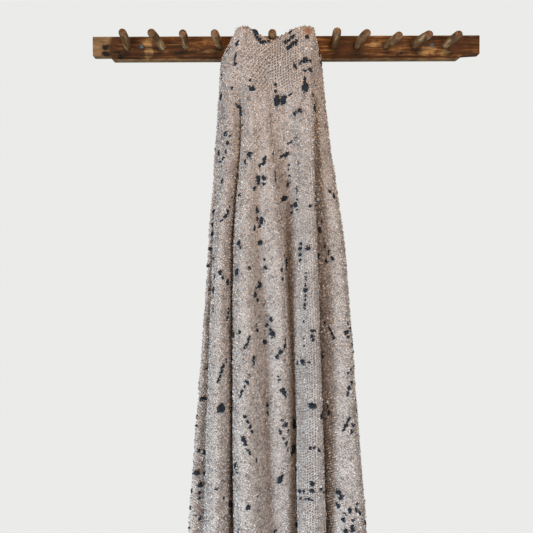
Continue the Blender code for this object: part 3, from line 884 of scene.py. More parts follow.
def wool_colour(tree, place, curl):
    """The wool's colour: pinkish beige, mottled loop by loop from a shaded to a lit tone, partly the wool's
    own uneven tone and partly painted highlight and shade on its loops.
    """
    broad = noise_of(tree, place, scale=26.0, detail=3.0)["Fac"]
    tone = sum_of(tree, "MULTIPLY_ADD", broad, WOOL_PATCHES, sum_of(tree, "SUBTRACT", curl, WOOL_TONE_DOWN))
    colour = blend_colour(tree, steepen(tree, tone, *WOOL_BODY_FROM), WOOL_SHADE, WOOL_BODY)
    return blend_colour(tree, steepen(tree, tone, *WOOL_LIT_FROM), colour, WOOL_LIT)


def finish_wool(tree, shader, colour):
    """Give a shader a wool's colour and its soft, hairy sheen."""
    set_sockets(tree, shader, {"Base Color": colour, "Roughness": 0.95, "Specular IOR Level": 0.2,
                               "Sheen Weight": 0.25, "Sheen Roughness": 0.6})


def make_cloth_finish():
    """The sheet's own face: the weave, its dark gaps, and the peg that shows through it."""
    made, tree, shader = new_material("open curly wool")
    place = object_place(tree)
    flat = add_node(tree, "ShaderNodeUVMap", uv_map="weave").outputs["UV"]
    thin = [sum_of(tree, "MULTIPLY", near(tree, place, middle, size), share)
            for middle, size, share in THIN_PLACES]
    openness = sum_of(tree, "ADD", OPEN_EVERYWHERE, sum_of(tree, "MAXIMUM", *thin))
    inputs = {"Weave": flat, "Place": place, "Openness": openness}
    weave = add_node(tree, "ShaderNodeGroup", inputs, node_tree=open_weave).outputs
    gap_share = sum_of(tree, "MULTIPLY", weave["Gap"], GAP_SHARE)
    peg_mask = near(tree, place, PEG_SEEN_THROUGH, PEG_SEEN_SIZE)
    gap_colour = blend_colour(tree, steepen(tree, peg_mask, *PEG_IN_GAPS), GAP_SHADE, PEG_THROUGH)
    # Painted shade in the gaps, and painted highlight and shade on the loops by how far each stands out.
    colour = blend_colour(tree, gap_share, wool_colour(tree, place, weave["Curl"]), gap_colour)
    colour = blend_colour(tree, steepen(tree, peg_mask, *PEG_IN_YARN), colour, PEG_THROUGH)
    finish_wool(tree, shader, colour)
    raise_surface(tree, shader, weave["Height"], 1.0, YARN_RELIEF)
    return made


throw.data.materials.append(make_cloth_finish())
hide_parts("throw")
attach(throw, "root")

# The curls.  The yarn is a curly wool: at each crossing of warp and weft a small curl
# of it stands out of the weave, the warp's and the weft's by turns.  They lie on both
# faces, closer on the outer one, and each is a small closed bead of uneven shape.

CURL_PITCH = 0.0048
CURL_SHARE_OUTSIDE = 0.80
CURL_SHARE_BEHIND = 0.45
CURL_SHARE_STRAINED = 0.33
CURL_SHARE_COLUMN = 0.36
CURL_SHARE_PEG = 0.10
CURL_SHARE_INSIDE = 0.10
CURL_HALF_LENGTH = 0.0026
CURL_HALF_WIDTH = 0.00135
CURL_RISE = 0.0008
CURL_STRAY = 0.0010
CURL_TURN_SPREAD = 0.42
CURL_SIZE_SPREAD = 0.2
CURLS_PER_PIECE = 15000
# The most crossings of warp and weft, each way, that one cell of the sheet can hold
CROSSINGS_A_CELL = 4
# A bead's shape: where its two rings are between its tips, how far those and the tips
# stray, how uneven and how full the rings are, and how far the tips sink in
BEAD_RINGS_AT = 0.42
BEAD_RING_STRAY = 0.35
BEAD_TIP_STRAY = 0.3
BEAD_UNEVEN = (0.75, 1.25)
BEAD_FULL = 1.15
BEAD_TIP_SINK = 0.9
# A normal turned further to the wall than this belongs to the part behind
BEHIND_FROM = 0.35
STRAINED_MIDDLE = (-0.016, -0.113, -0.045)
STRAINED_SIZE = (0.072, 0.05, 0.078)
COLUMN_FROM = (0.004, -0.2, -1.4)
COLUMN_TO = (0.078, -0.1, -0.34)
PEG_SEEN_RADIUS = 0.0095
HAIRS_IN_TONE = 0.35
CURL_TONE = (0.56, 0.13)
chance = np.random.default_rng(7)


def crossings():
    """Every crossing of warp and weft: its place, its normal, and the yarn that lies on top."""
    places, normals, yarns = [], [], []
    before = 0
    for (end, lean), flat in zip(STRETCHES, weave_maps()):
        after = min(int(round(end * STEPS_PER_FOLD)), len(sheet_grid) - 1)
        flat = flat[before:after + 1] / CURL_PITCH
        cloth = sheet_grid[before:after + 1]
        out = sheet_out[before:after, :-1].reshape(-1, 3)
        before = after
        corner = cloth[:-1, :-1].reshape(-1, 3)
        side = (cloth[1:, :-1] - cloth[:-1, :-1]).reshape(-1, 3)
        fall = (cloth[:-1, 1:] - cloth[:-1, :-1]).reshape(-1, 3)
        start = flat[:-1, :-1].reshape(-1, 2)
        flat_side = flat[1:, :-1].reshape(-1, 2) - start
        flat_fall = flat[:-1, 1:].reshape(-1, 2) - start
        area = flat_side[:, 0] * flat_fall[:, 1] - flat_side[:, 1] * flat_fall[:, 0]
        lowest = np.floor(np.minimum(np.minimum(start, start + flat_side), start + flat_fall))
        for step_weft in range(CROSSINGS_A_CELL):
            for step_warp in range(CROSSINGS_A_CELL):
                crossing = lowest + (step_weft, step_warp)
                away = crossing - start
                share_side = (away[:, 0] * flat_fall[:, 1] - away[:, 1] * flat_fall[:, 0]) / area
                share_fall = (flat_side[:, 0] * away[:, 1] - flat_side[:, 1] * away[:, 0]) / area
                inside = (share_side >= 0) & (share_side < 1) & (share_fall >= 0) & (share_fall < 1)
                warp_on_top = (crossing.sum(axis=1) % 2 == 0)[:, None]
                weft_way = (side * flat_fall[:, 1:] - fall * flat_side[:, 1:]) / area[:, None]
                warp_way = (fall * flat_side[:, :1] - side * flat_fall[:, :1]) / area[:, None]
                yarn = np.where(warp_on_top, warp_way, weft_way)
                places.append((corner + side * share_side[:, None] + fall * share_fall[:, None])[inside])
                normals.append(out[inside])
                yarns.append(yarn[inside])
    return np.concatenate(places), np.concatenate(normals), np.concatenate(yarns)


def unit(vectors):
    """The same directions, one long each."""
    return vectors / np.linalg.norm(vectors, axis=-1, keepdims=True)


def bead_faces():
    """A bead's triangles: two rings of three points between two tips."""
    faces = []
    for k in range(3):
        after = (k + 1) % 3
        faces.append((0, 1 + after, 1 + k))
        faces.append((1 + k, 1 + after, 4 + after))
        faces.append((1 + k, 4 + after, 4 + k))
        faces.append((7, 4 + k, 4 + after))
    return np.array(faces)


def beads(places, normals, yarns, half_length, half_width, rise):
    """The points of one uneven bead at each place, lying along its yarn."""
    count = len(places)
    spun = chance.normal(0.0, CURL_TURN_SPREAD, (count, 1))
    along = unit(yarns - normals * np.sum(yarns * normals, axis=1, keepdims=True))
    aside = np.cross(normals, along)
    along, aside = along * np.cos(spun) + aside * np.sin(spun), aside * np.cos(spun) - along * np.sin(spun)
    size = chance.lognormal(0.0, CURL_SIZE_SPREAD, (count, 1))
    stray = chance.normal(0.0, CURL_STRAY / 2, (count, 2))
    middle = places + along * stray[:, :1] + aside * stray[:, 1:] + normals * rise * size
    reach_along = along * half_length * size
    points = np.zeros((count, 8, 3))
    for tip, end in ((0, -1.0), (7, 1.0)):
        bend = chance.normal(0.0, BEAD_TIP_STRAY, (count, 1)) * half_width
        points[:, tip] = middle + reach_along * end + aside * bend - normals * rise * BEAD_TIP_SINK
    for ring, end in ((1, -BEAD_RINGS_AT), (4, BEAD_RINGS_AT)):
        bend = chance.normal(0.0, BEAD_RING_STRAY, (count, 1)) * half_width
        for k in range(3):
            turn = math.pi * (2 * k / 3 + 0.5)
            reach = half_width * size * chance.uniform(*BEAD_UNEVEN, (count, 1)) * BEAD_FULL
            spread = aside * math.cos(turn) + normals * math.sin(turn)
            points[:, ring + k] = middle + reach_along * end + aside * bend + spread * reach
    return points


def mesh_of(name, points, faces, tone):
    """One mesh of many like shapes: their points, the triangles of one, and a tone for each."""
    count, each = points.shape[:2]
    corners = (faces[None] + np.arange(count)[:, None, None] * each).reshape(-1, 3)
    mesh = bpy.data.meshes.new(name)
    mesh.vertices.add(count * each)
    mesh.vertices.foreach_set("co", points.reshape(-1).astype(np.float32))
    mesh.loops.add(corners.size)
    mesh.loops.foreach_set("vertex_index", corners.reshape(-1).astype(np.int32))
    mesh.polygons.add(len(corners))
    mesh.polygons.foreach_set("loop_start", np.arange(0, corners.size, 3, dtype=np.int32))
    mesh.update(calc_edges=True)
    layer = mesh.attributes.new("tone", "FLOAT", "POINT")
    layer.data.foreach_set("value", np.repeat(tone, each).astype(np.float32))
    mesh.shade_smooth()
    made = bpy.data.objects.new(name, mesh)
    bpy.context.scene.collection.objects.link(made)
    return made


def dress_wool(piece, made):
    """Give a piece of wool its finish and its place in the frame."""
    piece.data.materials.append(made)
    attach(piece, "root")
    return piece


def make_curl_finish():
    """The curls' wool: each curl has its own tone, finely hairy."""
    made, tree, shader = new_material("wool curls")
    place = object_place(tree)
    tone = add_node(tree, "ShaderNodeAttribute", attribute_name="tone").outputs["Fac"]
    hairs = noise_of(tree, place, scale=900.0, detail=3.0, roughness=0.7)["Fac"]
    curl = sum_of(tree, "MULTIPLY_ADD", hairs, HAIRS_IN_TONE, sum_of(tree, "MULTIPLY_ADD", tone, *CURL_TONE))
    finish_wool(tree, shader, wool_colour(tree, place, curl))
    raise_surface(tree, shader, hairs, 0.8, 0.0008)
    return made


def outside_shares(places, normals):
    """How many of the crossings have a curl on the outer face: fewer where the weave shows."""
    shares = np.where(normals[:, 1] < BEHIND_FROM, CURL_SHARE_OUTSIDE, CURL_SHARE_BEHIND)
    from_strained = np.linalg.norm((places - STRAINED_MIDDLE) / STRAINED_SIZE, axis=1)
    shares[from_strained < 1.0] = CURL_SHARE_STRAINED
    shares[np.all((places > COLUMN_FROM) & (places < COLUMN_TO), axis=1)] = CURL_SHARE_COLUMN
    from_peg = np.linalg.norm(places - np.array(PEG_SEEN_THROUGH), axis=1)
    shares[from_peg < PEG_SEEN_RADIUS] = CURL_SHARE_PEG
    return shares


def make_curls():
    """All the curls, on both faces of the sheet, in pieces of a moderate size."""
    places, normals, yarns = crossings()
    finish = make_curl_finish()
    faces = (("outside", outside_shares(places, normals), 1.0), ("inside", CURL_SHARE_INSIDE, -1.0))
    made = []
    for face, share, way in faces:
        chosen = np.flatnonzero(chance.random(len(places)) < share)
        pieces = math.ceil(len(chosen) / CURLS_PER_PIECE)
        for number, part in enumerate(np.array_split(chosen, pieces), 1):
            out = normals[part] * way
            points = beads(places[part] + out * CLOTH_THICK / 2 * MM, out, yarns[part],
                           CURL_HALF_LENGTH, CURL_HALF_WIDTH, CURL_RISE)
            piece = mesh_of(f"wool_curls_{face}_{number}", points, bead_faces(), chance.random(len(part)))
            made.append(dress_wool(piece, finish))
    return made


wool_curls = make_curls()

# The slubs.  Thick unspun tufts of blue-black wool that the weaver lays in with the
# yarn, in short rows.  The ones in sight are placed one by one where they sit on the cloth,
# each one a few rough lumps with small dark curls about them.

# Each slub in the picture: the picture point of its middle, its length and width in
# picture points, and how far it leans from level, in degrees, up to the right
SLUB_COLUMNS = ("across", "down", "long", "wide", "lean")
SLUBS = (
    (255.5, 33.5, 8, 5, -50), (260, 41, 9, 3.5, -40), (265, 42, 4, 2.5, -10), (268.5, 41.5, 3, 2, 0),
    (291, 32, 4, 2, 30), (292.5, 37, 4, 3, 45), (289, 40, 3.5, 2.5, 45), (285.5, 42, 4, 3, -20),
    (292.5, 44, 6, 3, 50), (288, 48, 5, 3, 50), (297, 42, 5, 2.2, 80), (307, 37, 4, 2.5, 20),
    (237.5, 43.5, 4.5, 3, 50), (229, 50, 6, 2, 10), (235.5, 57, 7, 1.5, 80), (235, 64, 4, 2, 70),
    (305, 60, 6, 5, 20), (310.5, 61, 3, 2.5, 90), (300, 63, 5, 2, 60), (295, 66, 5, 2.5, -60),
    (310, 69.5, 4, 3, -30), (305, 71, 3, 2.5, 0), (319, 55, 7, 2.5, 85), (323.5, 63, 8, 2.5, 85),
    (305, 80, 6, 2.5, 90), (305.5, 88, 9, 6, 90), (250, 80, 3, 2, 0), (252, 88.5, 6, 5, 0),
    (275.5, 85, 3, 2, 90), (275.5, 91, 3, 2, 90), (277, 101, 10, 6, 80), (283, 99.5, 9, 5.5, 60),
    (291, 94.5, 4, 1.5, 30), (295, 113.5, 4, 3.5, 30), (300, 111, 4, 4, 30), (315, 107, 7, 5, 85),
    (221.5, 97, 5, 3.5, 60), (239, 108, 6, 4, -50), (241.5, 113, 7, 4, -70), (236.5, 105, 3, 2, -50),
    (226, 134, 6, 3.5, 70), (227.5, 143.5, 5, 3, -80), (296, 138.5, 3.5, 2.5, 40), (292, 141.5, 4, 2, 40),
    (288.5, 144, 3, 1.5, 40), (222, 77, 5, 1.5, 70), (232, 88, 3, 2, 90), (230, 136, 2.5, 2, 0),
    (243, 126, 3, 2, 90), (250, 155, 7, 5, 80), (245.5, 162, 4.5, 3, 50), (265, 158.5, 5, 3, 45),
    (263.5, 163, 5, 3, 50), (260, 166, 5, 2.5, 60), (272.5, 152.5, 5, 2.5, 90), (286.5, 154.5, 6, 4.5, 30),
    (281.5, 156.5, 4, 2.5, 20), (258, 180, 9, 5, -75), (264, 178.5, 5, 4, -70), (264, 183.5, 4, 3, 0),
    (254, 188.5, 5, 2.5, 45), (275, 177, 10, 1.5, 85), (288.5, 184, 5, 4, 60), (284, 198.5, 7, 5, 10),
    (296.5, 205, 5, 5, 90), (292, 206, 3.5, 2, 90), (297, 199.5, 2.5, 2.5, 0), (297, 210, 2.5, 2, 0),
    (292, 213, 3.5, 2.5, 30), (310.5, 206, 3.5, 2.5, -40), (288.5, 165, 2, 1.5, 0), (288.5, 170, 2, 1.5, 0),
    (289, 176, 2, 1.5, 0), (297, 190, 6, 1.5, 90), (219.5, 153, 5, 3, 50), (226, 152, 4, 2.5, 80),
    (223.5, 158.5, 4, 3, 30), (221, 162, 3, 2, 0), (222, 167, 2.5, 2, 0), (222.5, 181.5, 5, 3, 60),
    (240, 195.5, 4, 3, 50), (232, 197, 2.5, 2, 0), (229, 207, 3, 2, 60), (227.5, 211.5, 4, 3.5, 45),
    (225, 216, 4, 3, 45), (221.5, 220.5, 3.5, 2, 40), (256.5, 210.5, 6, 4.5, 80), (257, 218.5, 6, 2, 80),
    (254, 227.5, 7, 3, 90), (262, 221, 8, 5, 60), (259.5, 226.5, 4, 2.5, 60), (239.5, 243, 6, 4, 60),
    (241, 247.5, 4, 2.5, -80), (260.5, 243, 7, 5, 30), (329.5, 191.5, 4, 2.5, -40), (333.5, 196, 4.5, 3, 70),
    (336, 201, 2, 2, 0), (317, 221, 5, 3, -40), (322, 221, 4, 2, 60), (320.5, 230, 7, 3.5, -80),
    (301, 244, 4, 3, 50), (300.5, 249, 5, 3, 10), (308, 248, 5, 4.5, 10), (300.5, 254.5, 4, 3, 0),
    (300.5, 260, 3.5, 3, 0), (325, 246, 4, 2, 80), (329, 252, 4, 3, 45), (333, 258.5, 4, 3.5, -30),
    (327, 261, 3.5, 3.5, 0), (319, 255, 8, 3.5, 80), (212, 234, 5, 4, 50), (212, 224.5, 4, 2.5, 70),
    (213, 212, 3, 2, 90), (210, 249, 4, 3, 20), (213.5, 258.5, 4, 3, 45), (207, 265.5, 3.5, 2.5, 0),
    (212.5, 268, 3, 2, 0), (220, 272, 4.5, 4, 45), (237.5, 271.5, 7, 5.5, 45), (249, 268, 4, 3, -50),
    (266, 267.5, 5, 4, -40), (265, 260, 3, 2.5, 0), (281.5, 270, 4, 3, -60), (287, 264, 12, 2.5, 90),
    (222.5, 277.5, 4, 3, -50), (227, 282, 5, 4, -50), (220, 274, 3, 2, -50), (215, 277, 5, 2, 90),
    (214, 290, 6, 3.5, 90), (209, 290, 3, 2, 0), (212, 296, 5, 1.5, 45), (258.5, 284.5, 7, 5, 45),
    (255.5, 288.5, 4, 2.5, 45), (254.5, 295, 5, 4.5, 30), (256.5, 301, 5, 5, 0), (282, 279, 3.5, 3, 0),
    (306, 290, 5, 4.5, 0), (305.5, 296, 3, 2.5, 90), (305.5, 299.5, 2, 2, 0), (305.5, 305, 4, 4, 0),
    (305, 309, 2.5, 1.5, 0), (306, 273, 2, 1.5, 0), (306, 276.5, 2, 1.5, 0), (306, 280, 2, 1.5, 0),
    (306, 283, 2, 1.5, 0), (306, 286, 2, 1.5, 0), (213.5, 310, 4.5, 2.5, 90), (228, 311, 8, 2.5, 80),
    (227, 317, 5, 3, 60), (271.5, 319.5, 4.5, 4.5, 30), (267, 325, 5, 4, 40), (256, 324, 5, 2, 80),
    (256.5, 330.5, 5, 4, 0), (271, 329, 4, 3, 0), (273, 334.5, 6.5, 6, 0), (265.5, 341.5, 6, 4, 70),
    (234.5, 335, 6, 4, 60), (240, 332, 4, 3, 60), (249, 338, 6, 2.5, 70), (247, 344, 5, 2.5, 50),
    (244.5, 347.5, 3, 2.5, 0), (284.5, 346, 5, 3, 60), (280.5, 352, 4.5, 3.5, 60), (277, 356.5, 4.5, 3, 50),
    (253, 358, 5, 3, -80), (253.5, 363.5, 4.5, 3.5, 60), (285, 340, 4, 1.5, 60), (312.5, 331, 4, 4, 90),
    (312.5, 336, 3.5, 4, 90), (312.5, 339.5, 3, 3.5, 90), (304, 321.5, 2, 1.5, 0), (304, 338.5, 2, 1.5, 0),
    (304, 346, 2, 1.5, 0), (298, 363, 4, 2.5, 90), (303.5, 362.5, 6, 5.5, 0), (309.5, 362.5, 3, 2, 0),
    (325.5, 322.5, 3, 2.5, -45), (330, 329, 4, 2.5, -45), (334, 338, 4, 3.5, -45), (332, 333, 3, 1.5, -60),
    (347.5, 324, 3, 2, -60), (346, 332.5, 4.5, 4.5, 0), (350, 330, 5, 3, -70), (348, 337, 4, 2.5, 20),
    (354.5, 340.5, 3, 3, 0), (353, 346, 4, 2.5, 60), (323.5, 355, 6, 3, 80), (222.5, 366, 5.5, 3.5, 55),
    (221, 371, 4.5, 3.5, 55), (219.5, 375.5, 3.5, 3.5, 50), (218, 380.5, 3.5, 3, 50), (226, 361, 4, 2, -45),
    (229, 365, 3, 2, -60), (249, 376.5, 4, 1.5, 75), (246.5, 382, 5.5, 3, -60), (244.5, 387, 3, 2.5, 60),
    (242, 391.5, 5, 2.5, 60), (240.5, 396, 3, 2, 60), (278.5, 376, 3, 2, 0), (279, 380, 3, 2.5, 0),
    (283, 391, 8, 4.5, -35), (285, 396, 5, 3, -60), (353, 366.5, 2.5, 2.5, 0), (350, 369.5, 3, 2.5, 45),
    (348, 373, 2.5, 2, 0), (351, 383, 4, 3, 50), (348.5, 388, 5, 3, 60), (347, 394, 4, 3, 60),
    (355, 400, 3, 2.5, 0), (201.5, 398.5, 5, 4, 0), (205, 399, 4, 2.5, 0), (208, 368, 5, 2, 0),
    (220, 408, 9, 6, 55), (313, 406, 9, 5, -10), (267.5, 405, 3.5, 2.5, 90), (268, 412.5, 4, 2.5, 90),
    (197, 417, 5, 3, 60), (196.5, 425.5, 3, 3, 0), (244.5, 417, 3.5, 3, -50), (247.5, 422, 4, 3, -50),
    (249.5, 426.5, 3.5, 2.5, -50), (252, 431.5, 4, 2.5, -60), (282, 420, 3, 2.5, 0), (285, 424, 6, 5, 40),
    (293.5, 424, 8, 4, 90), (287.5, 431, 4, 2.5, 90), (280.5, 432, 5, 2.5, -60), (283.5, 438.5, 3, 2, 0),
    (244, 439.5, 6.5, 4, -50), (245.5, 444, 4, 3, -50), (247, 450, 3.5, 3, -60), (249.5, 453, 4, 2.5, -60),
    (286, 444, 5, 2.5, 70), (287.5, 449, 3.5, 2, 70), (292, 450, 10, 5, 60), (328, 407, 4, 2, -50),
    (329.5, 413, 4.5, 3.5, -60), (321, 416, 5, 3, 90), (359, 411, 5, 2.5, 80), (348.5, 419.5, 6, 3, 70),
    (346, 425.5, 5, 3.5, 60), (353, 425, 4, 3, 30), (351, 431.5, 4.5, 3.5, 30), (344, 430, 3, 2, 60),
    (310.5, 448, 3, 3, 0), (314, 448, 3, 3, 0), (319, 450, 3.5, 3, -30), (198.5, 450.5, 3.5, 3.5, 60),
    (203.5, 452, 5, 3.5, -80), (236.5, 466, 7, 5, -70), (237.5, 472, 4, 3, -60), (256, 460, 4, 1.5, 90),
    (196, 472, 6, 5, 0), (204, 473, 2.5, 2.5, 0), (279, 480, 7, 5, 60), (282, 476, 4, 2.5, 60),
    (199.5, 484.5, 5, 5, 0), (199.5, 492.5, 3, 2.5, 0), (200, 497.5, 4, 2, 20), (192, 491, 4, 1.5, 85),
    (312.5, 484, 5, 4.5, 0), (312, 491, 5, 4, 0), (300, 491, 4, 4, 90), (304, 491, 2.5, 3, 0),
    (297, 499, 5, 3, 90), (301.5, 498.5, 3, 2.5, 0), (305.5, 499, 2, 2, 0), (309, 499.5, 2, 2, 0),
    (312, 500, 2, 1.5, 0), (321, 489, 3, 3, 0), (323, 493, 3, 2.5, 0), (338.5, 492, 6, 4.5, -30),
    (341, 497.5, 6, 4.5, 60), (338.5, 505, 6, 4, -60), (349.5, 511, 5, 3, 80), (355.5, 509.5, 4, 2.5, -50),
    (359, 512.5, 5, 2.5, -50), (362, 517, 4, 2, -60), (345, 514, 4, 2, -40), (343.5, 520, 4.5, 4, -30),
    (353, 520, 3, 2.5, 0), (352, 526, 4, 3, 45), (346, 531, 4, 4, 0), (353, 530, 4, 4, 60),
    (367, 523, 4, 3, -60), (357, 504, 3, 2, 0), (229, 504, 5, 5, 0), (229.5, 510, 4, 3, 0),
    (232.5, 499, 3, 2.5, 0), (223.5, 497.5, 3, 2, -40), (204.5, 511, 5, 3, 90), (199, 518, 3.5, 3.5, 0),
    (196, 515.5, 3, 1.5, 0), (188, 507.5, 3, 1.5, 90), (248, 507, 5, 4.5, 30), (257, 496, 3.5, 2, 90),
    (239, 531, 4, 3, 90), (275, 531, 4, 3, 60), (296.5, 524, 4, 2.5, 90), (216.5, 489.5, 3, 1.5, 0),
)

# Where a slub would miss the cloth, it is moved toward this middle, step by step
PICTURE_MIDDLE = 272.0
INWARD_STEP = 0.5
INWARD_TRIES = 24
GRAZING = -0.12
LUMP_SIDES = 6
LUMP_RINGS = 3
LUMP_ROUGH = 0.20
LUMPS_PER_WIDTH = 1.7
LUMP_SIZE = (0.62, 0.95)
LUMP_STRETCH = (1.0, 1.35)
LUMP_STRAY = 0.12
LUMP_HEIGHT = 0.8
SLUB_RISE = 0.24
SLUB_DARK = (0.0085, 0.0105, 0.014, 1.0)
SLUB_PALE = (0.060, 0.070, 0.088, 1.0)
SLUB_PALE_FROM = (3.0, -1.25)
SLUB_CURLS_PER_CM = 8.0
SLUB_CURLS_AT = (0.35, 0.62)
SLUB_CURL_TURN = 1.2
SLUB_CURL_SIZES = (CURL_HALF_LENGTH * 0.8, CURL_HALF_WIDTH * 0.72, CURL_RISE * 1.3)
# The slubs that the picture doesn't show: how many rows on each face, how many slubs in
# a row, how far apart, how wide, how long for their width, and where a row ends
HIDDEN_ROWS = 230
HIDDEN_INSIDE = 90
HIDDEN_IN_ROW = (1, 5)
HIDDEN_SPACING = (0.010, 0.017)
HIDDEN_WIDE = (0.004, 0.0085)
HIDDEN_LONG = (1.1, 1.8)
HIDDEN_TURN = 0.3
IN_SIGHT_WITHIN = 0.012
PICTURE_FOOT = -1.05


def lump_shape():
    """A lump's points and triangles: rings of points between two tips, about one unit round."""
    points = [(-1.0, 0.0, 0.0)]
    for ring in range(LUMP_RINGS):
        turn = math.pi * (ring + 1) / (LUMP_RINGS + 1)
        for side in range(LUMP_SIDES):
            angle = 2 * math.pi * side / LUMP_SIDES
            reach = math.sin(turn)
            points.append((-math.cos(turn), reach * math.cos(angle), reach * math.sin(angle)))
    points.append((1.0, 0.0, 0.0))
    last = len(points) - 1
    far = 1 + (LUMP_RINGS - 1) * LUMP_SIDES
    faces = []
    for side in range(LUMP_SIDES):
        after = (side + 1) % LUMP_SIDES
        faces.append((0, 1 + after, 1 + side))
        for ring in range(1, far, LUMP_SIDES):
            beyond = ring + LUMP_SIDES
            faces.append((ring + side, ring + after, beyond + after))
            faces.append((ring + side, beyond + after, beyond + side))
        faces.append((last, far + side, far + after))
    return np.array(points), np.array(faces)


def picture_slubs(cloth):
    """The slubs in the picture, set on the cloth: middle, normal, direction, length and width."""
    sight = bpy.context.scene.camera.matrix_world.to_3x3()
    found = []
    for row in SLUBS:
        slub = dict(zip(SLUB_COLUMNS, row))
        inward = math.copysign(INWARD_STEP, PICTURE_MIDDLE - slub["across"])
        for step in range(INWARD_TRIES):
            ray = sight_line(slub["across"] + inward * step, slub["down"])
            spot, out, face, reach = cloth.ray_cast(EYE, ray)
            if spot is not None and out.dot(ray) < GRAZING:
                break
        if spot is None:
            continue
        lean = math.radians(slub["lean"])
        way = sight @ Vector((math.cos(lean), math.sin(lean), 0.0))
        way = (way - out * way.dot(out)).normalized()
        point = reach * SENSOR / LENS / PICTURE_SIZE
        found.append((spot, out, way, slub["long"] * point, slub["wide"] * point))
    return found


def in_picture(spot, cloth):
    """Whether a point of the cloth can be seen in the picture."""
    sight = spot - EYE
    reach = cloth.ray_cast(EYE, sight.normalized())[3]
    return spot.z > PICTURE_FOOT and (reach is None or reach > sight.length - IN_SIGHT_WITHIN)


def hidden_slubs(cloth):
    """Short rows of slubs on the cloth that the picture doesn't show, along warp or weft."""
    places, normals, yarns = crossings()
    found = []
    facings = [1.0] * HIDDEN_ROWS + [-1.0] * HIDDEN_INSIDE
    half = CLOTH_THICK / 2 * MM
    for pick in chance.permutation(len(places)):
        spot = Vector(places[pick])
        if in_picture(spot, cloth):
            continue
        out = Vector(normals[pick]) * facings.pop()
        way = Vector(yarns[pick]).normalized()
        for step in range(chance.integers(*HIDDEN_IN_ROW)):
            wide = chance.uniform(*HIDDEN_WIDE)
            found.append((spot + out * half, out, way, wide * chance.uniform(*HIDDEN_LONG), wide))
            onward = spot + way * chance.uniform(*HIDDEN_SPACING) + out * half
            near_spot, near_out = cloth.find_nearest(onward)[:2]
            if near_out.dot(out) < HIDDEN_TURN or in_picture(near_spot, cloth):
                break
            spot, out = near_spot - near_out * half, near_out
            way = (way - out * way.dot(out)).normalized()
        if not facings:
            break
    return found


def make_slub_finish():
    """Blue-black wool, rough, with paler hairs."""
    made, tree, shader = new_material("dark slub wool")
    hairs = noise_of(tree, object_place(tree), scale=1100.0, detail=3.0, roughness=0.75)["Fac"]
    colour = blend_colour(tree, steepen(tree, hairs, *SLUB_PALE_FROM), SLUB_DARK, SLUB_PALE)
    set_sockets(tree, shader, {"Base Color": colour, "Roughness": 0.9, "Specular IOR Level": 0.15})
    raise_surface(tree, shader, hairs, 0.9, 0.001)
    return made


def make_slubs(name, found, finish):
    """One piece of the lumps of these slubs and one of the dark curls about them."""
    shape, shape_faces = lump_shape()
    lumps, curl_places, curl_normals, curl_yarns = [], [], [], []
    for spot, out, way, long, wide in found:
        aside = out.cross(way)
        count = max(1, round(long / wide * LUMPS_PER_WIDTH))
        for k in range(count):
            share = 0.0 if count == 1 else (k / (count - 1) - 0.5)
            size = wide / 2 * chance.uniform(*LUMP_SIZE)
            middle = spot + way * (long - wide) * share + aside * wide * chance.normal(0.0, LUMP_STRAY)
            middle = middle + out * wide * SLUB_RISE
            stretch = chance.uniform(*LUMP_STRETCH)
            rough = 1.0 + chance.uniform(-LUMP_ROUGH, LUMP_ROUGH, (len(shape), 1))
            axes = np.array([way * stretch, aside, out * LUMP_HEIGHT])
            lumps.append(np.array(middle) + (shape * rough * size) @ axes)
        for k in range(max(2, int(long * 100 * SLUB_CURLS_PER_CM))):
            angle = chance.uniform(0.0, 2 * math.pi)
            reach = chance.uniform(*SLUB_CURLS_AT)
            turn = angle + SLUB_CURL_TURN
            curl_places.append(spot + (way * long * math.cos(angle) + aside * wide * math.sin(angle)) * reach)
            curl_normals.append(out)
            curl_yarns.append(way * math.cos(turn) + aside * math.sin(turn))
    curls = beads(np.array(curl_places), np.array(curl_normals), np.array(curl_yarns), *SLUB_CURL_SIZES)
    made = [
        mesh_of(name, np.array(lumps), shape_faces, np.zeros(len(lumps))),
        mesh_of(name + "_curls", curls, bead_faces(), np.zeros(len(curls))),
    ]
    return [dress_wool(piece, finish) for piece in made]


bpy.context.view_layer.update()
cloth_faces = BVHTree.FromPolygons([v.co for v in throw.data.vertices],
                                   [tuple(p.vertices) for p in throw.data.polygons])
slub_finish = make_slub_finish()
slubs = make_slubs("slubs_in_front", picture_slubs(cloth_faces), slub_finish)
slubs += make_slubs("slubs_elsewhere", hidden_slubs(cloth_faces), slub_finish)

# The room.  A pale floor well below the throw and out of the picture, cool light from the
# left and weaker from the right, as from low windows, a warm lamp above, and a pale sky.

FLOOR_PLACE = (0.0, -0.3, -1.52)
FLOOR_RADIUS = 0.85
FLOOR_SIDES = 96
FLOOR_COLOUR = (0.8, 0.8, 0.79, 1.0)
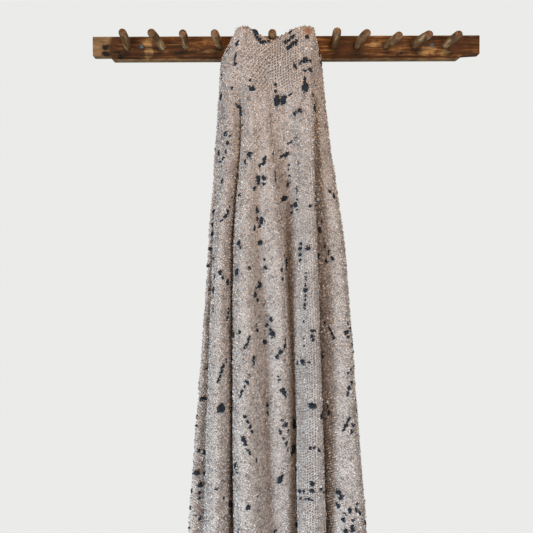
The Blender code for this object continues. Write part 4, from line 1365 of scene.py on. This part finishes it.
# Each lamp: its place, the point that it lights, its width, its power and its colour
LAMP_COLUMNS = ("name", "place", "target", "size", "power", "colour")
LAMPS = (
    ("left window", (-1.5, -1.6, -1.4), (0.0, 0.0, -1.1), 1.0, 61.0, (0.60, 0.81, 1.0)),
    ("right window", (0.85, -2.0, -1.3), (0.0, 0.0, -1.0), 1.0, 32.0, (0.68, 0.85, 1.0)),
    ("warm ceiling", (0.15, -1.4, 0.75), (0.0, 0.0, -0.1), 0.9, 15.0, (1.0, 0.62, 0.28)),
)
# The sky is seen paler than it lights, so that the lamps still model the folds
SKY_SEEN = (0.83, 0.835, 0.82, 1.0)
SKY_LIGHT = 0.25


def make_floor():
    """A plain pale disc under the object."""
    nothing_selected()
    bpy.ops.mesh.primitive_circle_add(vertices=FLOOR_SIDES, radius=FLOOR_RADIUS, location=FLOOR_PLACE,
                                      fill_type="NGON")
    floor = bpy.context.object
    floor.name = "floor"
    bpy.ops.object.transform_apply(location=True, rotation=True, scale=True)
    made, tree, shader = new_material("pale floor")
    set_sockets(tree, shader, {"Base Color": FLOOR_COLOUR, "Roughness": 0.9})
    floor.data.materials.append(made)


def make_lamp(row):
    """A large soft lamp turned to the point that it lights."""
    lamp = dict(zip(LAMP_COLUMNS, row))
    data = bpy.data.lights.new(lamp["name"], "AREA")
    data.shape = "DISK"
    data.size = lamp["size"]
    data.energy = lamp["power"]
    data.color = lamp["colour"]
    made = bpy.data.objects.new(lamp["name"], data)
    made.location = lamp["place"]
    aim = Vector(lamp["target"]) - Vector(lamp["place"])
    made.rotation_euler = aim.to_track_quat("-Z", "Y").to_euler()
    bpy.context.scene.collection.objects.link(made)


make_floor()
for lamp_row in LAMPS:
    make_lamp(lamp_row)

sky = bpy.data.worlds.new("pale room")
sky.use_nodes = True
sky_tree = sky.node_tree
seen = add_node(sky_tree, "ShaderNodeLightPath").outputs["Is Camera Ray"]
strength = sum_of(sky_tree, "MULTIPLY_ADD", seen, 1.0 - SKY_LIGHT, SKY_LIGHT)
set_sockets(sky_tree, sky_tree.nodes["Background"], {"Color": SKY_SEEN, "Strength": strength})
bpy.context.scene.world = sky
bpy.context.scene.view_settings.view_transform = "Standard"
